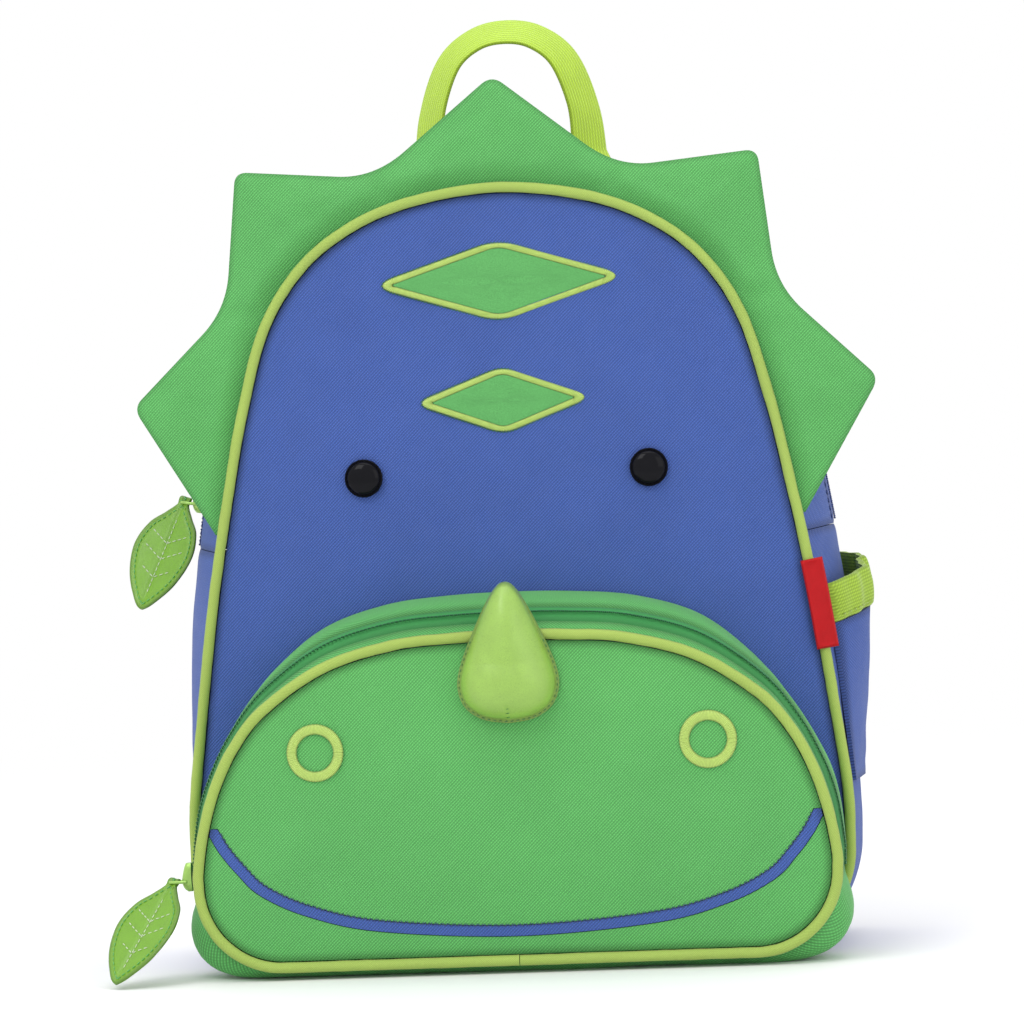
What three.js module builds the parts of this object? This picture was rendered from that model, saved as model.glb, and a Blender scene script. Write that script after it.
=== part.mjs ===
import * as THREE from 'three';
import { LoftGeometry } from 'three/addons/geometries/LoftGeometry.js';
import { mergeVertices } from 'three/addons/utils/BufferGeometryUtils.js';

// Kids' animal backpack: a hollow fabric bag with a frill, a muzzle pocket and two shoulder straps.
// Millimetres, +Z up, front towards -Y, origin on the floor under the middle of the bag.
// Left and right are the viewer's when looking at the front.

// Cloth and seams
const clothThickness = 1.6;
const panelThickness = 2;
const seamGap = 0.3;
const pipingRadius = 2.1;
const pipingSides = 6;

// Bag body: outlines are measured along the middle of the piping
const bagHalfWidth = 129;
const bagTop = 305;
const bagDepth = 90;
const bagCorner = 36;
const rimLift = 5;
const faceCrown = 6;
const backCrown = 3;
const backPadding = 5;
const gussetSwell = 18;
const gussetSeamHeight = 165;
const zipWidth = 16;
const zipTeethWidth = 5;
const zipTeethHeight = 0.9;

// Muzzle pocket on the front
const muzzleDepth = 38;
const muzzleHalfWidth = 123;
const muzzleTop = 130;
const muzzleCorner = 32;
const muzzleBackTop = 146.4;
const muzzleCrown = 7;
const muzzleSwell = 3.5;
const muzzleSeamMargin = 1.8;
const muzzleZipHeight = 32;
const muzzleZipWidth = 9;
const muzzleZipPlace = 0.32;
const mouthHeight = 58;
const mouthWidth = 4;
const mouthRaise = 0.5;

// Face details
const diamondUpper = { width: 92, height: 30, centre: 268 };
const diamondLower = { width: 64, height: 24.5, centre: 221 };
const stitchBorder = 2.6;
const stitchThickness = 0.9;
const patchThickness = 0.8;
const eyeDiameter = 15;
const eyeDome = 4.2;
const eyeSpacing = 112;
const eyeHeight = 192.5;
const nostrilSpacing = 151;
const nostrilHeight = 87.5;
const nostrilOuter = 11.1;
const nostrilInner = 7.1;
const hornHeight = 54;
const hornWidth = 39;
const hornBottom = 96.5;
const hornDepth = 15;
const hornEdge = 1.6;

// Frill of five padded spikes, sewn in behind the face piping
const frillHalfWidth = 147.4;
const frillTop = 349.5;
const frillEndHeight = 172;
const frillPadding = 7;
const frillSeam = 2;
const frillSeamWidth = 2;
const frillFullAt = 9;
const frillTipRound = 0.09;
const frillEndReach = 3;

// Side pocket and side label, both on the right
const pocketBottom = 66;
const pocketFrontMouth = 127.5;
const pocketBackMouth = 139;
const pocketWidth = 70;
const pocketSwell = 9;
const pocketFullness = 0.6;
const pocketPinch = 0.45;
const pocketPinchWidth = 0.13;
const pocketClimbSteps = 6;
const pocketSteps = 8;
const bindingSteps = 14;
const bindingHeight = 15.5;
const bindingThickness = 2.4;
const bindingGathers = 7;
const gatherDepth = 0.7;
const labelLength = 35;
const labelWidth = 8.7;
const labelSewn = 3.2;
const labelThickness = 1.2;
const labelBottom = 119;

// Zip pulls
const sliderLength = 11;
const sliderWidth = 7;
const sliderThickness = 4;
const mainSliderHeight = 184;
const leafLength = 50;
const leafWidth = 28;
const leafThickness = 1.6;
const leafStem = 5;
const leafStemLength = 5.5;
const leafNeck = 3.3;
const mainHang = new THREE.Vector3(-0.42, -0.3, -1);
const mainFacing = new THREE.Vector3(-0.42, -0.9, 0);
const muzzleHang = new THREE.Vector3(-0.42, -0.52, -0.74);
const muzzleFacing = new THREE.Vector3(-0.5, -0.8, 0.3);

// Carrying handle and shoulder straps on the back
const handleTop = 378.5;
const handleSpan = 67;
const handleWidth = 25;
const handleThickness = 2;
const handleTilt = 28;
const handleSewn = 10;
const strapTop = 279;
const strapBottom = 100;
const strapPadding = 8;
const strapWidth = 50;
const strapStandOff = 26;
const strapTopSpacing = 84;
const strapBottomSpacing = 160;
const webbingWidth = 20;
const webbingThickness = 1.6;
const webbingLean = 3;
const anchorSpacing = 196;
const anchorHeight = 33.2;
const anchorSize = 40;
const lockWidth = 28;
const lockHeight = 20;
const lockThickness = 4;
const lockBar = 3.5;

// Half outlines: reach is a share of the half width, rise a share of the height, from the widest row to the top
const faceRows = [
  { reach: 1, rise: 0.19 },
  { reach: 0.978, rise: 0.275 },
  { reach: 0.92, rise: 0.459 },
  { reach: 0.854, rise: 0.617 },
  { reach: 0.802, rise: 0.721 },
  { reach: 0.726, rise: 0.828 },
  { reach: 0.602, rise: 0.907 },
  { reach: 0.434, rise: 0.959 },
  { reach: 0.24, rise: 0.988 },
  { reach: 0, rise: 1 },
];
const muzzleFrontRows = [
  { reach: 1, rise: 0.3 },
  { reach: 0.979, rise: 0.424 },
  { reach: 0.941, rise: 0.55 },
  { reach: 0.878, rise: 0.675 },
  { reach: 0.78, rise: 0.792 },
  { reach: 0.585, rise: 0.918 },
  { reach: 0.366, rise: 0.98 },
  { reach: 0.18, rise: 0.996 },
  { reach: 0, rise: 1 },
];
const muzzleBackRows = [
  { reach: 1, rise: 0.34 },
  { reach: 0.987, rise: 0.454 },
  { reach: 0.928, rise: 0.571 },
  { reach: 0.854, rise: 0.681 },
  { reach: 0.756, rise: 0.798 },
  { reach: 0.598, rise: 0.915 },
  { reach: 0.4, rise: 0.975 },
  { reach: 0.2, rise: 0.995 },
  { reach: 0, rise: 1 },
];
// Swell of the body gusset: rise is a share of the height, swell a share of gussetSwell
const gussetRows = [
  { rise: 0, swell: 0.3 },
  { rise: 0.22, swell: 0.32 },
  { rise: 0.277, swell: 0.47 },
  { rise: 0.357, swell: 0.62 },
  { rise: 0.45, swell: 0.75 },
  { rise: 0.53, swell: 0.78 },
  { rise: 1, swell: 1 },
];
// Mouth line from the middle outwards: shares of the muzzle's half width and height
const mouthRows = [
  { reach: 0, rise: 0.093 },
  { reach: 0.427, rise: 0.12 },
  { reach: 0.65, rise: 0.172 },
  { reach: 0.793, rise: 0.238 },
  { reach: 0.87, rise: 0.304 },
  { reach: 0.93, rise: 0.375 },
];
// Frill corners from the middle tip down: across and rise are shares of the frill's half width and of its
// height above the bag's bottom line, along is the share of the sewn edge that the corner stands over
const frillCorners = [
  { across: 0, rise: 1, along: 0 },
  { across: 0.326, rise: 0.891, along: 0.228 },
  { across: 0.7, rise: 0.902, along: 0.387 },
  { across: 0.743, rise: 0.75, along: 0.561 },
  { across: 1, rise: 0.636, along: 0.78 },
];
// Stand-off of the side pocket from the gusset: climb and swell are shares, from the bottom seam to the mouth
const pocketRows = [
  { climb: 0, swell: 0 },
  { climb: 0.15, swell: 0.12 },
  { climb: 0.4, swell: 0.3 },
  { climb: 0.7, swell: 0.6 },
  { climb: 1, swell: 1 },
];
// Horn half outline from the bottom up: shares of its half width and height
const hornRows = [
  { reach: 0, rise: 0 },
  { reach: 0.5, rise: 0.03 },
  { reach: 0.86, rise: 0.12 },
  { reach: 1, rise: 0.26 },
  { reach: 0.93, rise: 0.42 },
  { reach: 0.68, rise: 0.64 },
  { reach: 0.38, rise: 0.86 },
  { reach: 0.17, rise: 0.97 },
  { reach: 0, rise: 1 },
];
// Leaf half outline from the stem end to the tip: shares of its half width and length
const leafRows = [
  { reach: 0.45, rise: 0.06 },
  { reach: 0.82, rise: 0.2 },
  { reach: 1, rise: 0.42 },
  { reach: 0.84, rise: 0.66 },
  { reach: 0.48, rise: 0.86 },
  { reach: 0, rise: 1 },
];
// Profile of an eye from the middle of its base to the top of its dome: shares of its radius and height
const eyeRows = [
  { out: 0, up: 0 },
  { out: 1, up: 0 },
  { out: 1, up: 0.25 },
  { out: 0.92, up: 0.5 },
  { out: 0.7, up: 0.8 },
  { out: 0.38, up: 0.96 },
  { out: 0, up: 1 },
];
// Zip slider from one end to the other: place along it, half width and height as shares of its sizes
const sliderRows = [
  { along: -0.5, half: 0.32, high: 0.55 },
  { along: -0.32, half: 0.45, high: 0.75 },
  { along: 0.1, half: 0.5, high: 1 },
  { along: 0.36, half: 0.42, high: 0.85 },
  { along: 0.5, half: 0.26, high: 0.5 },
];
// Handle half path from the seam to the top: shares of the half span and of the height above the seam
const handleRows = [
  { reach: 1, rise: 0, turn: 1 },
  { reach: 1, rise: 0.17, turn: 1 },
  { reach: 1, rise: 0.42, turn: 0.06 },
  { reach: 0.94, rise: 0.64, turn: 0 },
  { reach: 0.72, rise: 0.86, turn: 0 },
  { reach: 0.38, rise: 0.97, turn: 0 },
  { reach: 0, rise: 1, turn: 0 },
];
// Shoulder strap from top to bottom: drop, sweep and stand-off are shares of the strap's own sizes
const strapRows = [
  { drop: 0, sweep: 0, standOff: 0, width: 1 },
  { drop: 0.13, sweep: 0.06, standOff: 0.5, width: 1 },
  { drop: 0.38, sweep: 0.34, standOff: 1, width: 0.98 },
  { drop: 0.65, sweep: 0.7, standOff: 0.95, width: 0.9 },
  { drop: 0.87, sweep: 0.93, standOff: 0.62, width: 0.72 },
  { drop: 1, sweep: 1, standOff: 0.4, width: 0.52 },
];

// Places worked out from the sizes above
const frontPlane = -bagDepth / 2;
const backPlane = bagDepth / 2;
const muzzlePlane = frontPlane - muzzleDepth;
const panelInset = pipingRadius + seamGap;
const frontEdge = frontPlane + panelInset;
const backEdge = backPlane - panelInset;
const gussetWidth = backEdge - frontEdge;
const muzzleBackInset = panelInset + clothThickness + muzzleSeamMargin;
const muzzleBackHalfWidth = bagHalfWidth - muzzleBackInset;
const muzzleBackBottom = rimLift + muzzleBackInset;
const muzzleFrontEdge = muzzlePlane + panelInset;

const outlineSteps = 50;
const mouthSteps = 26;
const handleSteps = 17;
const strapSteps = 10;
const webbingSteps = 8;

const colour = {
  blue: 0x506ebc,
  green: 0x5cbe62,
  zipGreen: 0x2f9a48,
  lime: 0xafd062,
  webbing: 0xafd72d,
  leaf: 0x87be41,
  horn: 0xa8d264,
  stitch: 0xb6d86e,
  black: 0x0c0c0e,
  red: 0xd22328,
};
const finish = {
  fabric: { roughness: 0.85, metalness: 0 },
  leather: { roughness: 0.42, metalness: 0 },
  plastic: { roughness: 0.35, metalness: 0 },
  gloss: { roughness: 0.08, metalness: 0 },
  painted: { roughness: 0.4, metalness: 0.2 },
};

const bag = new THREE.Group();

function addPiece(name, geometry, tint, surface) {
  const material = new THREE.MeshStandardMaterial({ color: tint, ...surface });
  const mesh = new THREE.Mesh(geometry, material);
  mesh.name = name;
  bag.add(mesh);
  return mesh;
}

function signedVolume(geometry) {
  const position = geometry.getAttribute('position');
  const index = geometry.getIndex();
  const corner = [new THREE.Vector3(), new THREE.Vector3(), new THREE.Vector3()];
  let volume = 0;
  for (let i = 0; i < index.count; i += 3) {
    corner.forEach((point, k) => point.fromBufferAttribute(position, index.getX(i + k)));
    volume += corner[0].dot(corner[1].cross(corner[2])) / 6;
  }
  return volume;
}

// Faces that close a loft's first or last section like the rungs of a ladder
function endFaces(row, columns, first) {
  const at = (j) => row * (columns + 1) + j;
  const faces = [];
  for (let j = 0; j < columns / 2 - 1; j += 1) {
    const [a, b, c, d] = [at(j), at(j + 1), at(columns - 2 - j), at(columns - 1 - j)];
    if (first) faces.push(b, a, d, b, d, c);
    else faces.push(a, b, d, b, c, d);
  }
  return faces;
}

// Closed skin through a row of closed sections, turned so that its faces point outwards. Where a section has
// all its points in one place, it ends in a fan.
function loft(sections, capped = true) {
  const lofted = new LoftGeometry(sections);
  const columns = sections[0].length;
  const faces = [...lofted.getIndex().array];
  if (capped) faces.push(...endFaces(0, columns, true), ...endFaces(sections.length - 1, columns, false));
  const skin = new THREE.BufferGeometry();
  skin.setAttribute('position', lofted.getAttribute('position'));
  skin.setIndex(faces);
  const merged = mergeVertices(skin, 1e-3);
  const index = merged.getIndex().array;
  const kept = [];
  for (let i = 0; i < index.length; i += 3) {
    const [a, b, c] = index.slice(i, i + 3);
    if (a !== b && b !== c && c !== a) kept.push(a, b, c);
  }
  merged.setIndex(kept);
  if (signedVolume(merged) < 0) merged.setIndex(kept.reverse());
  merged.computeVertexNormals();
  return merged;
}

// Straight-line look-up in a table of rows sorted by the first column
function lookUp(rows, key, column, value) {
  const next = rows.findIndex((row) => row[key] >= value);
  if (next === -1) return rows[rows.length - 1][column];
  if (next === 0) return rows[0][column];
  const low = rows[next - 1];
  const high = rows[next];
  return THREE.MathUtils.mapLinear(value, low[key], high[key], low[column], high[column]);
}

// Panel outline in x and z with a flat bottom and round lower corners. Its share runs counterclockwise from
// the middle of the bottom, through one half at the top.
function panelOutline({ halfWidth, bottom, top, corner, rows }) {
  const right = rows.map((row) => new THREE.Vector2(row.reach * halfWidth, bottom + row.rise * (top - bottom)));
  const left = right.slice(0, -1).reverse().map((point) => new THREE.Vector2(-point.x, point.y));
  const outline = new THREE.Path();
  outline.moveTo(0, bottom);
  outline.lineTo(halfWidth - corner, bottom);
  outline.absarc(halfWidth - corner, bottom + corner, corner, -Math.PI / 2, 0, false);
  outline.splineThru([...right, ...left, new THREE.Vector2(-halfWidth, bottom + corner)]);
  outline.absarc(corner - halfWidth, bottom + corner, corner, Math.PI, 1.5 * Math.PI, false);
  outline.lineTo(0, bottom);
  return outline;
}

// Point and outward direction at a share of an outline; shares below 0 lie on the left of the bottom
function placeOn(outline, share) {
  const wrapped = THREE.MathUtils.euclideanModulo(share, 1);
  const tangent = outline.getTangent(wrapped);
  return { point: outline.getPoint(wrapped), outward: new THREE.Vector2(tangent.y, -tangent.x) };
}

// Share on the right half of an outline at a height
function shareAtHeight(outline, height) {
  let low = 0;
  let high = 0.5;
  for (let i = 0; i < 24; i += 1) {
    const middle = (low + high) / 2;
    if (outline.getPoint(middle).y < height) low = middle;
    else high = middle;
  }
  return (low + high) / 2;
}

// Depth of a crowned surface over an outline: flat at the edge, fullest in the middle
function crownedSurface(outline, bottom, top, plane, crown) {
  return (x, z) => {
    const climb = THREE.MathUtils.clamp((2 * z - bottom - top) / (top - bottom), -1, 1);
    const halfWidth = outline.getPoint(shareAtHeight(outline, z)).x;
    const across = THREE.MathUtils.clamp(x / Math.max(halfWidth, 1), -1, 1);
    return plane + crown * (1 - climb ** 2) * (1 - across ** 2);
  };
}

function insetLoop(outline, inset, count) {
  return Array.from({ length: count }, (_, i) => {
    const { point, outward } = placeOn(outline, i / count);
    return point.clone().addScaledVector(outward, -inset);
  });
}

const onSurface = (surface, point, offset) => new THREE.Vector3(point.x, surface(point.x, point.y) + offset, point.y);

// Sheet over a closed loop that follows a surface between two offsets, as rings around a middle
function sheet(loop, middle, surface, near, far, rings) {
  const face = (offset) => rings.map((ring) => loop.map((point) => {
    const place = new THREE.Vector2().lerpVectors(middle, point, ring);
    return onSurface(surface, place, offset);
  }));
  return loft([...face(near), ...face(far).reverse()], false);
}

// Strip between two lines that follows a surface between two offsets
function ruledSheet(lower, upper, surface, near, far, shares, count) {
  const sections = [];
  for (let i = 0; i <= count; i += 1) {
    const low = lower(i / count);
    const high = upper(i / count);
    const line = (offset) => shares.map((share) => onSurface(surface, low.clone().lerp(high, share), offset));
    sections.push([...line(near), ...line(far).reverse()]);
  }
  return loft(sections);
}

// Flat ring that follows a surface, between an outer and an inner loop
function ringSheet(outer, inner, surface, near, far) {
  const sections = outer.map((point, i) => [
    onSurface(surface, point, near),
    onSurface(surface, inner[i], near),
    onSurface(surface, inner[i], far),
    onSurface(surface, point, far),
  ]);
  return loft([...sections, sections[0]], false);
}

// Piping around an outline, its two ends butted together at the middle of the bottom
function piping(outline, plane, count) {
  const butt = seamGap / 2 / outline.getLength();
  const sections = [];
  for (let i = 0; i <= count; i += 1) {
    const { point, outward } = placeOn(outline, THREE.MathUtils.clamp(i / count, butt, 1 - butt));
    sections.push(Array.from({ length: pipingSides }, (_, k) => {
      const angle = (k / pipingSides) * 2 * Math.PI;
      const out = pipingRadius * Math.cos(angle);
      const place = point.clone().addScaledVector(outward, out);
      return new THREE.Vector3(place.x, plane + pipingRadius * Math.sin(angle), place.y);
    }));
  }
  return loft(sections);
}

// Shares of an outline from one place to another that keep to the steps of the panel and the piping
function stepsBetween(from, to) {
  const shares = [from];
  const margin = 0.2 / outlineSteps;
  for (let i = Math.ceil(from * outlineSteps); i <= to * outlineSteps; i += 1) {
    const share = i / outlineSteps;
    if (share - from > margin && to - share > margin) shares.push(share);
  }
  return [...shares, to];
}

const evenSteps = (count) => Array.from({ length: count + 1 }, (_, i) => i / count);

// Band of cloth along a wall: skin(share, across, lift) gives a point of the wall at a lift from its outside
function band(skin, shares, strip) {
  return loft(shares.map((share) => {
    const outside = strip.map(({ across, lift = 0 }) => skin(share, across, lift));
    const inside = strip.map(({ across }) => skin(share, across, -clothThickness));
    return [...outside, ...inside.reverse()];
  }));
}

const evenStrip = (from, to, spans) => Array.from({ length: spans + 1 }, (_, i) => ({
  across: THREE.MathUtils.lerp(from, to, i / spans),
}));

// Crown of a wall across its width: round where edge is one half, flat in the middle where it is less
function crownAcross(across, edge) {
  const climb = Math.min(1, across / edge, (1 - across) / edge);
  return Math.sin((Math.PI / 2) * climb);
}

const downShare = (outward) => THREE.MathUtils.smoothstep(-outward.y, 0.2, 1);

const flatEdge = 0.22;

const faceOutline = panelOutline({
  halfWidth: bagHalfWidth, bottom: rimLift, top: bagTop, corner: bagCorner, rows: faceRows,
});
const muzzleOutline = panelOutline({
  halfWidth: muzzleHalfWidth, bottom: rimLift, top: muzzleTop, corner: muzzleCorner, rows: muzzleFrontRows,
});
const muzzleSeam = panelOutline({
  halfWidth: muzzleBackHalfWidth,
  bottom: muzzleBackBottom,
  top: muzzleBackTop,
  corner: bagCorner - muzzleBackInset,
  rows: muzzleBackRows,
});
const faceSurface = crownedSurface(faceOutline, rimLift, bagTop, frontPlane, -faceCrown);
const backSurface = crownedSurface(faceOutline, rimLift, bagTop, backPlane, backCrown);
const muzzleSurface = crownedSurface(muzzleOutline, rimLift, muzzleTop, muzzlePlane, -muzzleCrown);

// Swell of the body gusset beyond the piping line
function gussetSwellAt({ point, outward }, across) {
  const rise = (point.y - rimLift) / (bagTop - rimLift);
  const side = gussetSwell * lookUp(gussetRows, 'rise', 'swell', rise);
  const down = downShare(outward);
  const edge = THREE.MathUtils.lerp(0.5, flatEdge, down);
  return THREE.MathUtils.lerp(side, rimLift, down) * crownAcross(across, edge);
}

function gussetSkin(share, across, lift) {
  const place = placeOn(faceOutline, share);
  const point = place.point.clone().addScaledVector(place.outward, gussetSwellAt(place, across) + lift);
  return new THREE.Vector3(point.x, THREE.MathUtils.lerp(frontEdge, backEdge, across), point.y);
}

// The muzzle gusset runs from the muzzle's front outline back to its seam on the face panel
function muzzleSkin(share, across, lift) {
  const front = placeOn(muzzleOutline, share);
  const back = placeOn(muzzleSeam, share).point;
  const line = front.point.clone().lerp(back, across);
  const down = downShare(front.outward);
  const edge = THREE.MathUtils.lerp(0.5, flatEdge, down);
  const swell = THREE.MathUtils.lerp(muzzleSwell, line.y, down) * crownAcross(across, edge);
  const seamDepth = faceSurface(back.x, back.y) - seamGap;
  const point = line.addScaledVector(front.outward, swell + lift);
  return new THREE.Vector3(point.x, THREE.MathUtils.lerp(muzzleFrontEdge, seamDepth, across), point.y);
}

// Zip tape with a raised row of teeth along its middle, which lies at a place across the gusset
function zipStrip(tapeShare, teethShare, middle) {
  const half = tapeShare / 2;
  const teeth = teethShare / 2;
  return [
    { across: middle - half },
    { across: middle - teeth, lift: zipTeethHeight },
    { across: middle + teeth, lift: zipTeethHeight },
    { across: middle + half },
  ];
}

function addBody() {
  const edge = insetLoop(faceOutline, panelInset, outlineSteps);
  const middle = new THREE.Vector2(0, (bagTop + rimLift) / 2);
  const rings = [0, 0.35, 0.7, 1];
  addPiece('face_panel', sheet(edge, middle, faceSurface, 0, panelThickness, rings), colour.blue, finish.fabric);
  addPiece('back_panel', sheet(edge, middle, backSurface, -backPadding, 0, rings), colour.blue, finish.fabric);
  addPiece('face_piping', piping(faceOutline, frontPlane, outlineSteps), colour.lime, finish.fabric);
  addPiece('back_piping', piping(faceOutline, backPlane, outlineSteps), colour.blue, finish.fabric);

  const seam = shareAtHeight(faceOutline, gussetSeamHeight);
  const butt = seamGap / 2 / faceOutline.getLength();
  const zipShare = zipWidth / gussetWidth;
  const gapShare = seamGap / gussetWidth;
  const zipEdge = 0.5 - zipShare / 2 - gapShare;
  const arch = stepsBetween(seam + butt, 1 - seam - butt);
  addPiece('gusset_front', band(gussetSkin, arch, evenStrip(0, zipEdge, 3)), colour.blue, finish.fabric);
  addPiece('gusset_back', band(gussetSkin, arch, evenStrip(1 - zipEdge, 1, 3)), colour.blue, finish.fabric);
  const teeth = zipTeethWidth / gussetWidth;
  addPiece('main_zip', band(gussetSkin, arch, zipStrip(zipShare, teeth, 0.5)), colour.blue, finish.fabric);
  const bottomStrip = [0, flatEdge / 2, flatEdge, 0.5, 1 - flatEdge, 1 - flatEdge / 2, 1].map((across) => ({ across }));
  const bottom = band(gussetSkin, stepsBetween(butt - seam, seam - butt), bottomStrip);
  addPiece('gusset_bottom', bottom, colour.blue, finish.fabric);
}

// Line of the mouth from its left end to its right end, both on the edge of the muzzle panel
function mouthLine() {
  const { point, outward } = placeOn(muzzleOutline, shareAtHeight(muzzleOutline, mouthHeight));
  const end = point.clone().addScaledVector(outward, -panelInset - mouthWidth / 2 - seamGap);
  const height = muzzleTop - rimLift;
  const right = mouthRows.map((row) => new THREE.Vector2(row.reach * muzzleHalfWidth, rimLift + row.rise * height));
  right.push(end);
  const left = right.slice(1).reverse().map((place) => new THREE.Vector2(-place.x, place.y));
  return new THREE.SplineCurve([...left, ...right]);
}

function addMuzzle() {
  const line = mouthLine();
  const beside = (offset) => (t) => {
    const tangent = line.getTangentAt(t);
    return line.getPointAt(t).addScaledVector(new THREE.Vector2(-tangent.y, tangent.x), offset);
  };
  const edge = insetLoop(muzzleOutline, panelInset, outlineSteps);
  const edgeAt = (share) => {
    const step = THREE.MathUtils.euclideanModulo(share, 1) * outlineSteps;
    const [from, to] = [Math.floor(step), Math.floor(step) + 1];
    return edge[from % outlineSteps].clone().lerp(edge[to % outlineSteps], step - from);
  };
  const half = mouthWidth / 2;
  const below = shareAtHeight(muzzleOutline, mouthHeight - mouthWidth);
  const above = shareAtHeight(muzzleOutline, mouthHeight + mouthWidth);
  const rim = (t) => edgeAt(THREE.MathUtils.lerp(-below, below, t));
  const arch = (t) => edgeAt(THREE.MathUtils.lerp(1 - above, above, t));
  const lip = ruledSheet(rim, beside(-half - seamGap), muzzleSurface, 0, panelThickness, [0, 0.5, 1], mouthSteps);
  const lipShares = [0, 0.2, 0.45, 0.75, 1];
  const cheek = ruledSheet(beside(half + seamGap), arch, muzzleSurface, 0, panelThickness, lipShares, mouthSteps);
  const mouth = ruledSheet(
    beside(-half), beside(half), muzzleSurface, -mouthRaise, panelThickness - mouthRaise, [0, 1], mouthSteps,
  );
  addPiece('muzzle_panel', cheek, colour.green, finish.fabric);
  addPiece('muzzle_lip', lip, colour.green, finish.fabric);
  addPiece('mouth_line', mouth, colour.blue, finish.fabric);
  addPiece('muzzle_piping', piping(muzzleOutline, muzzlePlane, outlineSteps), colour.lime, finish.fabric);

  const seam = shareAtHeight(muzzleOutline, muzzleZipHeight);
  const butt = seamGap / 2 / muzzleOutline.getLength();
  const zipShare = muzzleZipWidth / muzzleDepth;
  const zipReach = zipShare / 2 + seamGap / muzzleDepth;
  const teeth = zipTeethWidth / muzzleDepth;
  const over = stepsBetween(seam + butt, 1 - seam - butt);
  const front = band(muzzleSkin, over, evenStrip(0, muzzleZipPlace - zipReach, 1));
  const back = band(muzzleSkin, over, evenStrip(muzzleZipPlace + zipReach, 1, 1));
  const zip = band(muzzleSkin, over, zipStrip(zipShare, teeth, muzzleZipPlace));
  const bottomStrip = [0, flatEdge / 2, flatEdge, 1 - flatEdge, 1 - flatEdge / 2, 1].map((across) => ({ across }));
  const bottom = band(muzzleSkin, stepsBetween(butt - seam, seam - butt), bottomStrip);
  addPiece('muzzle_gusset_front', front, colour.green, finish.fabric);
  addPiece('muzzle_gusset_back', back, colour.green, finish.fabric);
  addPiece('muzzle_zip', zip, colour.zipGreen, finish.fabric);
  addPiece('muzzle_gusset_bottom', bottom, colour.green, finish.fabric);
}

// Lozenge with slightly rounded corners, as points on its four sides
function lozenge(width, height, centre, inset) {
  const halfWidth = width / 2 - (inset * width) / height;
  const halfHeight = height / 2 - inset * 1.15;
  const spots = [0.04, 0.35, 0.65, 0.95];
  const corners = [[halfWidth, 0], [0, halfHeight], [-halfWidth, 0], [0, -halfHeight]];
  return corners.flatMap(([x, z], i) => {
    const [nextX, nextZ] = corners[(i + 1) % corners.length];
    return spots.map((spot) => new THREE.Vector2(
      THREE.MathUtils.lerp(x, nextX, spot),
      centre + THREE.MathUtils.lerp(z, nextZ, spot),
    ));
  });
}

function circleLoop(x, z, radius, count) {
  return Array.from({ length: count }, (_, i) => {
    const angle = (i / count) * 2 * Math.PI;
    return new THREE.Vector2(x + radius * Math.cos(angle), z + radius * Math.sin(angle));
  });
}

function addFaceDetails() {
  [['upper', diamondUpper], ['lower', diamondLower]].forEach(([name, { width, height, centre }]) => {
    const middle = new THREE.Vector2(0, centre);
    const outer = lozenge(width, height, centre, 0);
    const inner = lozenge(width, height, centre, stitchBorder);
    const patch = lozenge(width, height, centre, stitchBorder + seamGap);
    const border = ringSheet(outer, inner, faceSurface, -seamGap - stitchThickness, -seamGap);
    const fill = sheet(patch, middle, faceSurface, -seamGap - patchThickness, -seamGap, [0, 0.5, 1]);
    addPiece(`diamond_border_${name}`, border, colour.stitch, finish.fabric);
    addPiece(`diamond_${name}`, fill, colour.green, finish.fabric);
  });

  [['left', -1], ['right', 1]].forEach(([side, sign]) => {
    const x = (sign * eyeSpacing) / 2;
    const profile = eyeRows.map(({ out, up }) => new THREE.Vector2((out * eyeDiameter) / 2, up * eyeDome));
    const eye = addPiece(`eye_${side}`, new THREE.LatheGeometry(profile, 14), colour.black, finish.gloss);
    const slopeX = faceSurface(x + 1, eyeHeight) - faceSurface(x, eyeHeight);
    const slopeZ = faceSurface(x, eyeHeight + 1) - faceSurface(x, eyeHeight);
    const facing = new THREE.Vector3(slopeX, -1, slopeZ).normalize();
    eye.quaternion.setFromUnitVectors(new THREE.Vector3(0, 1, 0), facing);
    eye.position.set(x, faceSurface(x, eyeHeight) - seamGap, eyeHeight);

    const nostrilX = (sign * nostrilSpacing) / 2;
    const outer = circleLoop(nostrilX, nostrilHeight, nostrilOuter, 16);
    const inner = circleLoop(nostrilX, nostrilHeight, nostrilInner, 16);
    const ring = ringSheet(outer, inner, muzzleSurface, -seamGap - stitchThickness, -seamGap);
    addPiece(`nostril_ring_${side}`, ring, colour.stitch, finish.fabric);
  });
}

// Stuffed horn that lies on the muzzle panel and stands up in front of the muzzle piping
function addHorn() {
  const halfWidth = hornWidth / 2;
  const right = hornRows.map((row) => new THREE.Vector2(row.reach * halfWidth, hornBottom + row.rise * hornHeight));
  const left = right.slice(1, -1).reverse().map((point) => new THREE.Vector2(-point.x, point.y));
  const outline = new THREE.SplineCurve([...right, ...left, right[0]]);
  const loop = outline.getSpacedPoints(26).slice(0, -1);
  const rest = (x, z) => Math.min(muzzleSurface(x, z), muzzlePlane - pipingRadius) - seamGap;
  const middle = new THREE.Vector2(0, hornBottom + 0.34 * hornHeight);
  const rings = [0, 0.3, 0.6, 0.87, 1];
  const front = rings.map((ring) => loop.map((point) => {
    const place = new THREE.Vector2().lerpVectors(middle, point, ring);
    const puff = hornEdge + (hornDepth - hornEdge) * Math.sqrt(1 - ring ** 2);
    return new THREE.Vector3(place.x, rest(place.x, place.y) - puff, place.y);
  }));
  const back = [1, 0.5, 0].map((ring) => loop.map((point) => {
    const place = new THREE.Vector2().lerpVectors(middle, point, ring);
    return new THREE.Vector3(place.x, rest(place.x, place.y), place.y);
  }));
  addPiece('horn', loft([...front, ...back], false), colour.horn, finish.leather);
}

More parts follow.
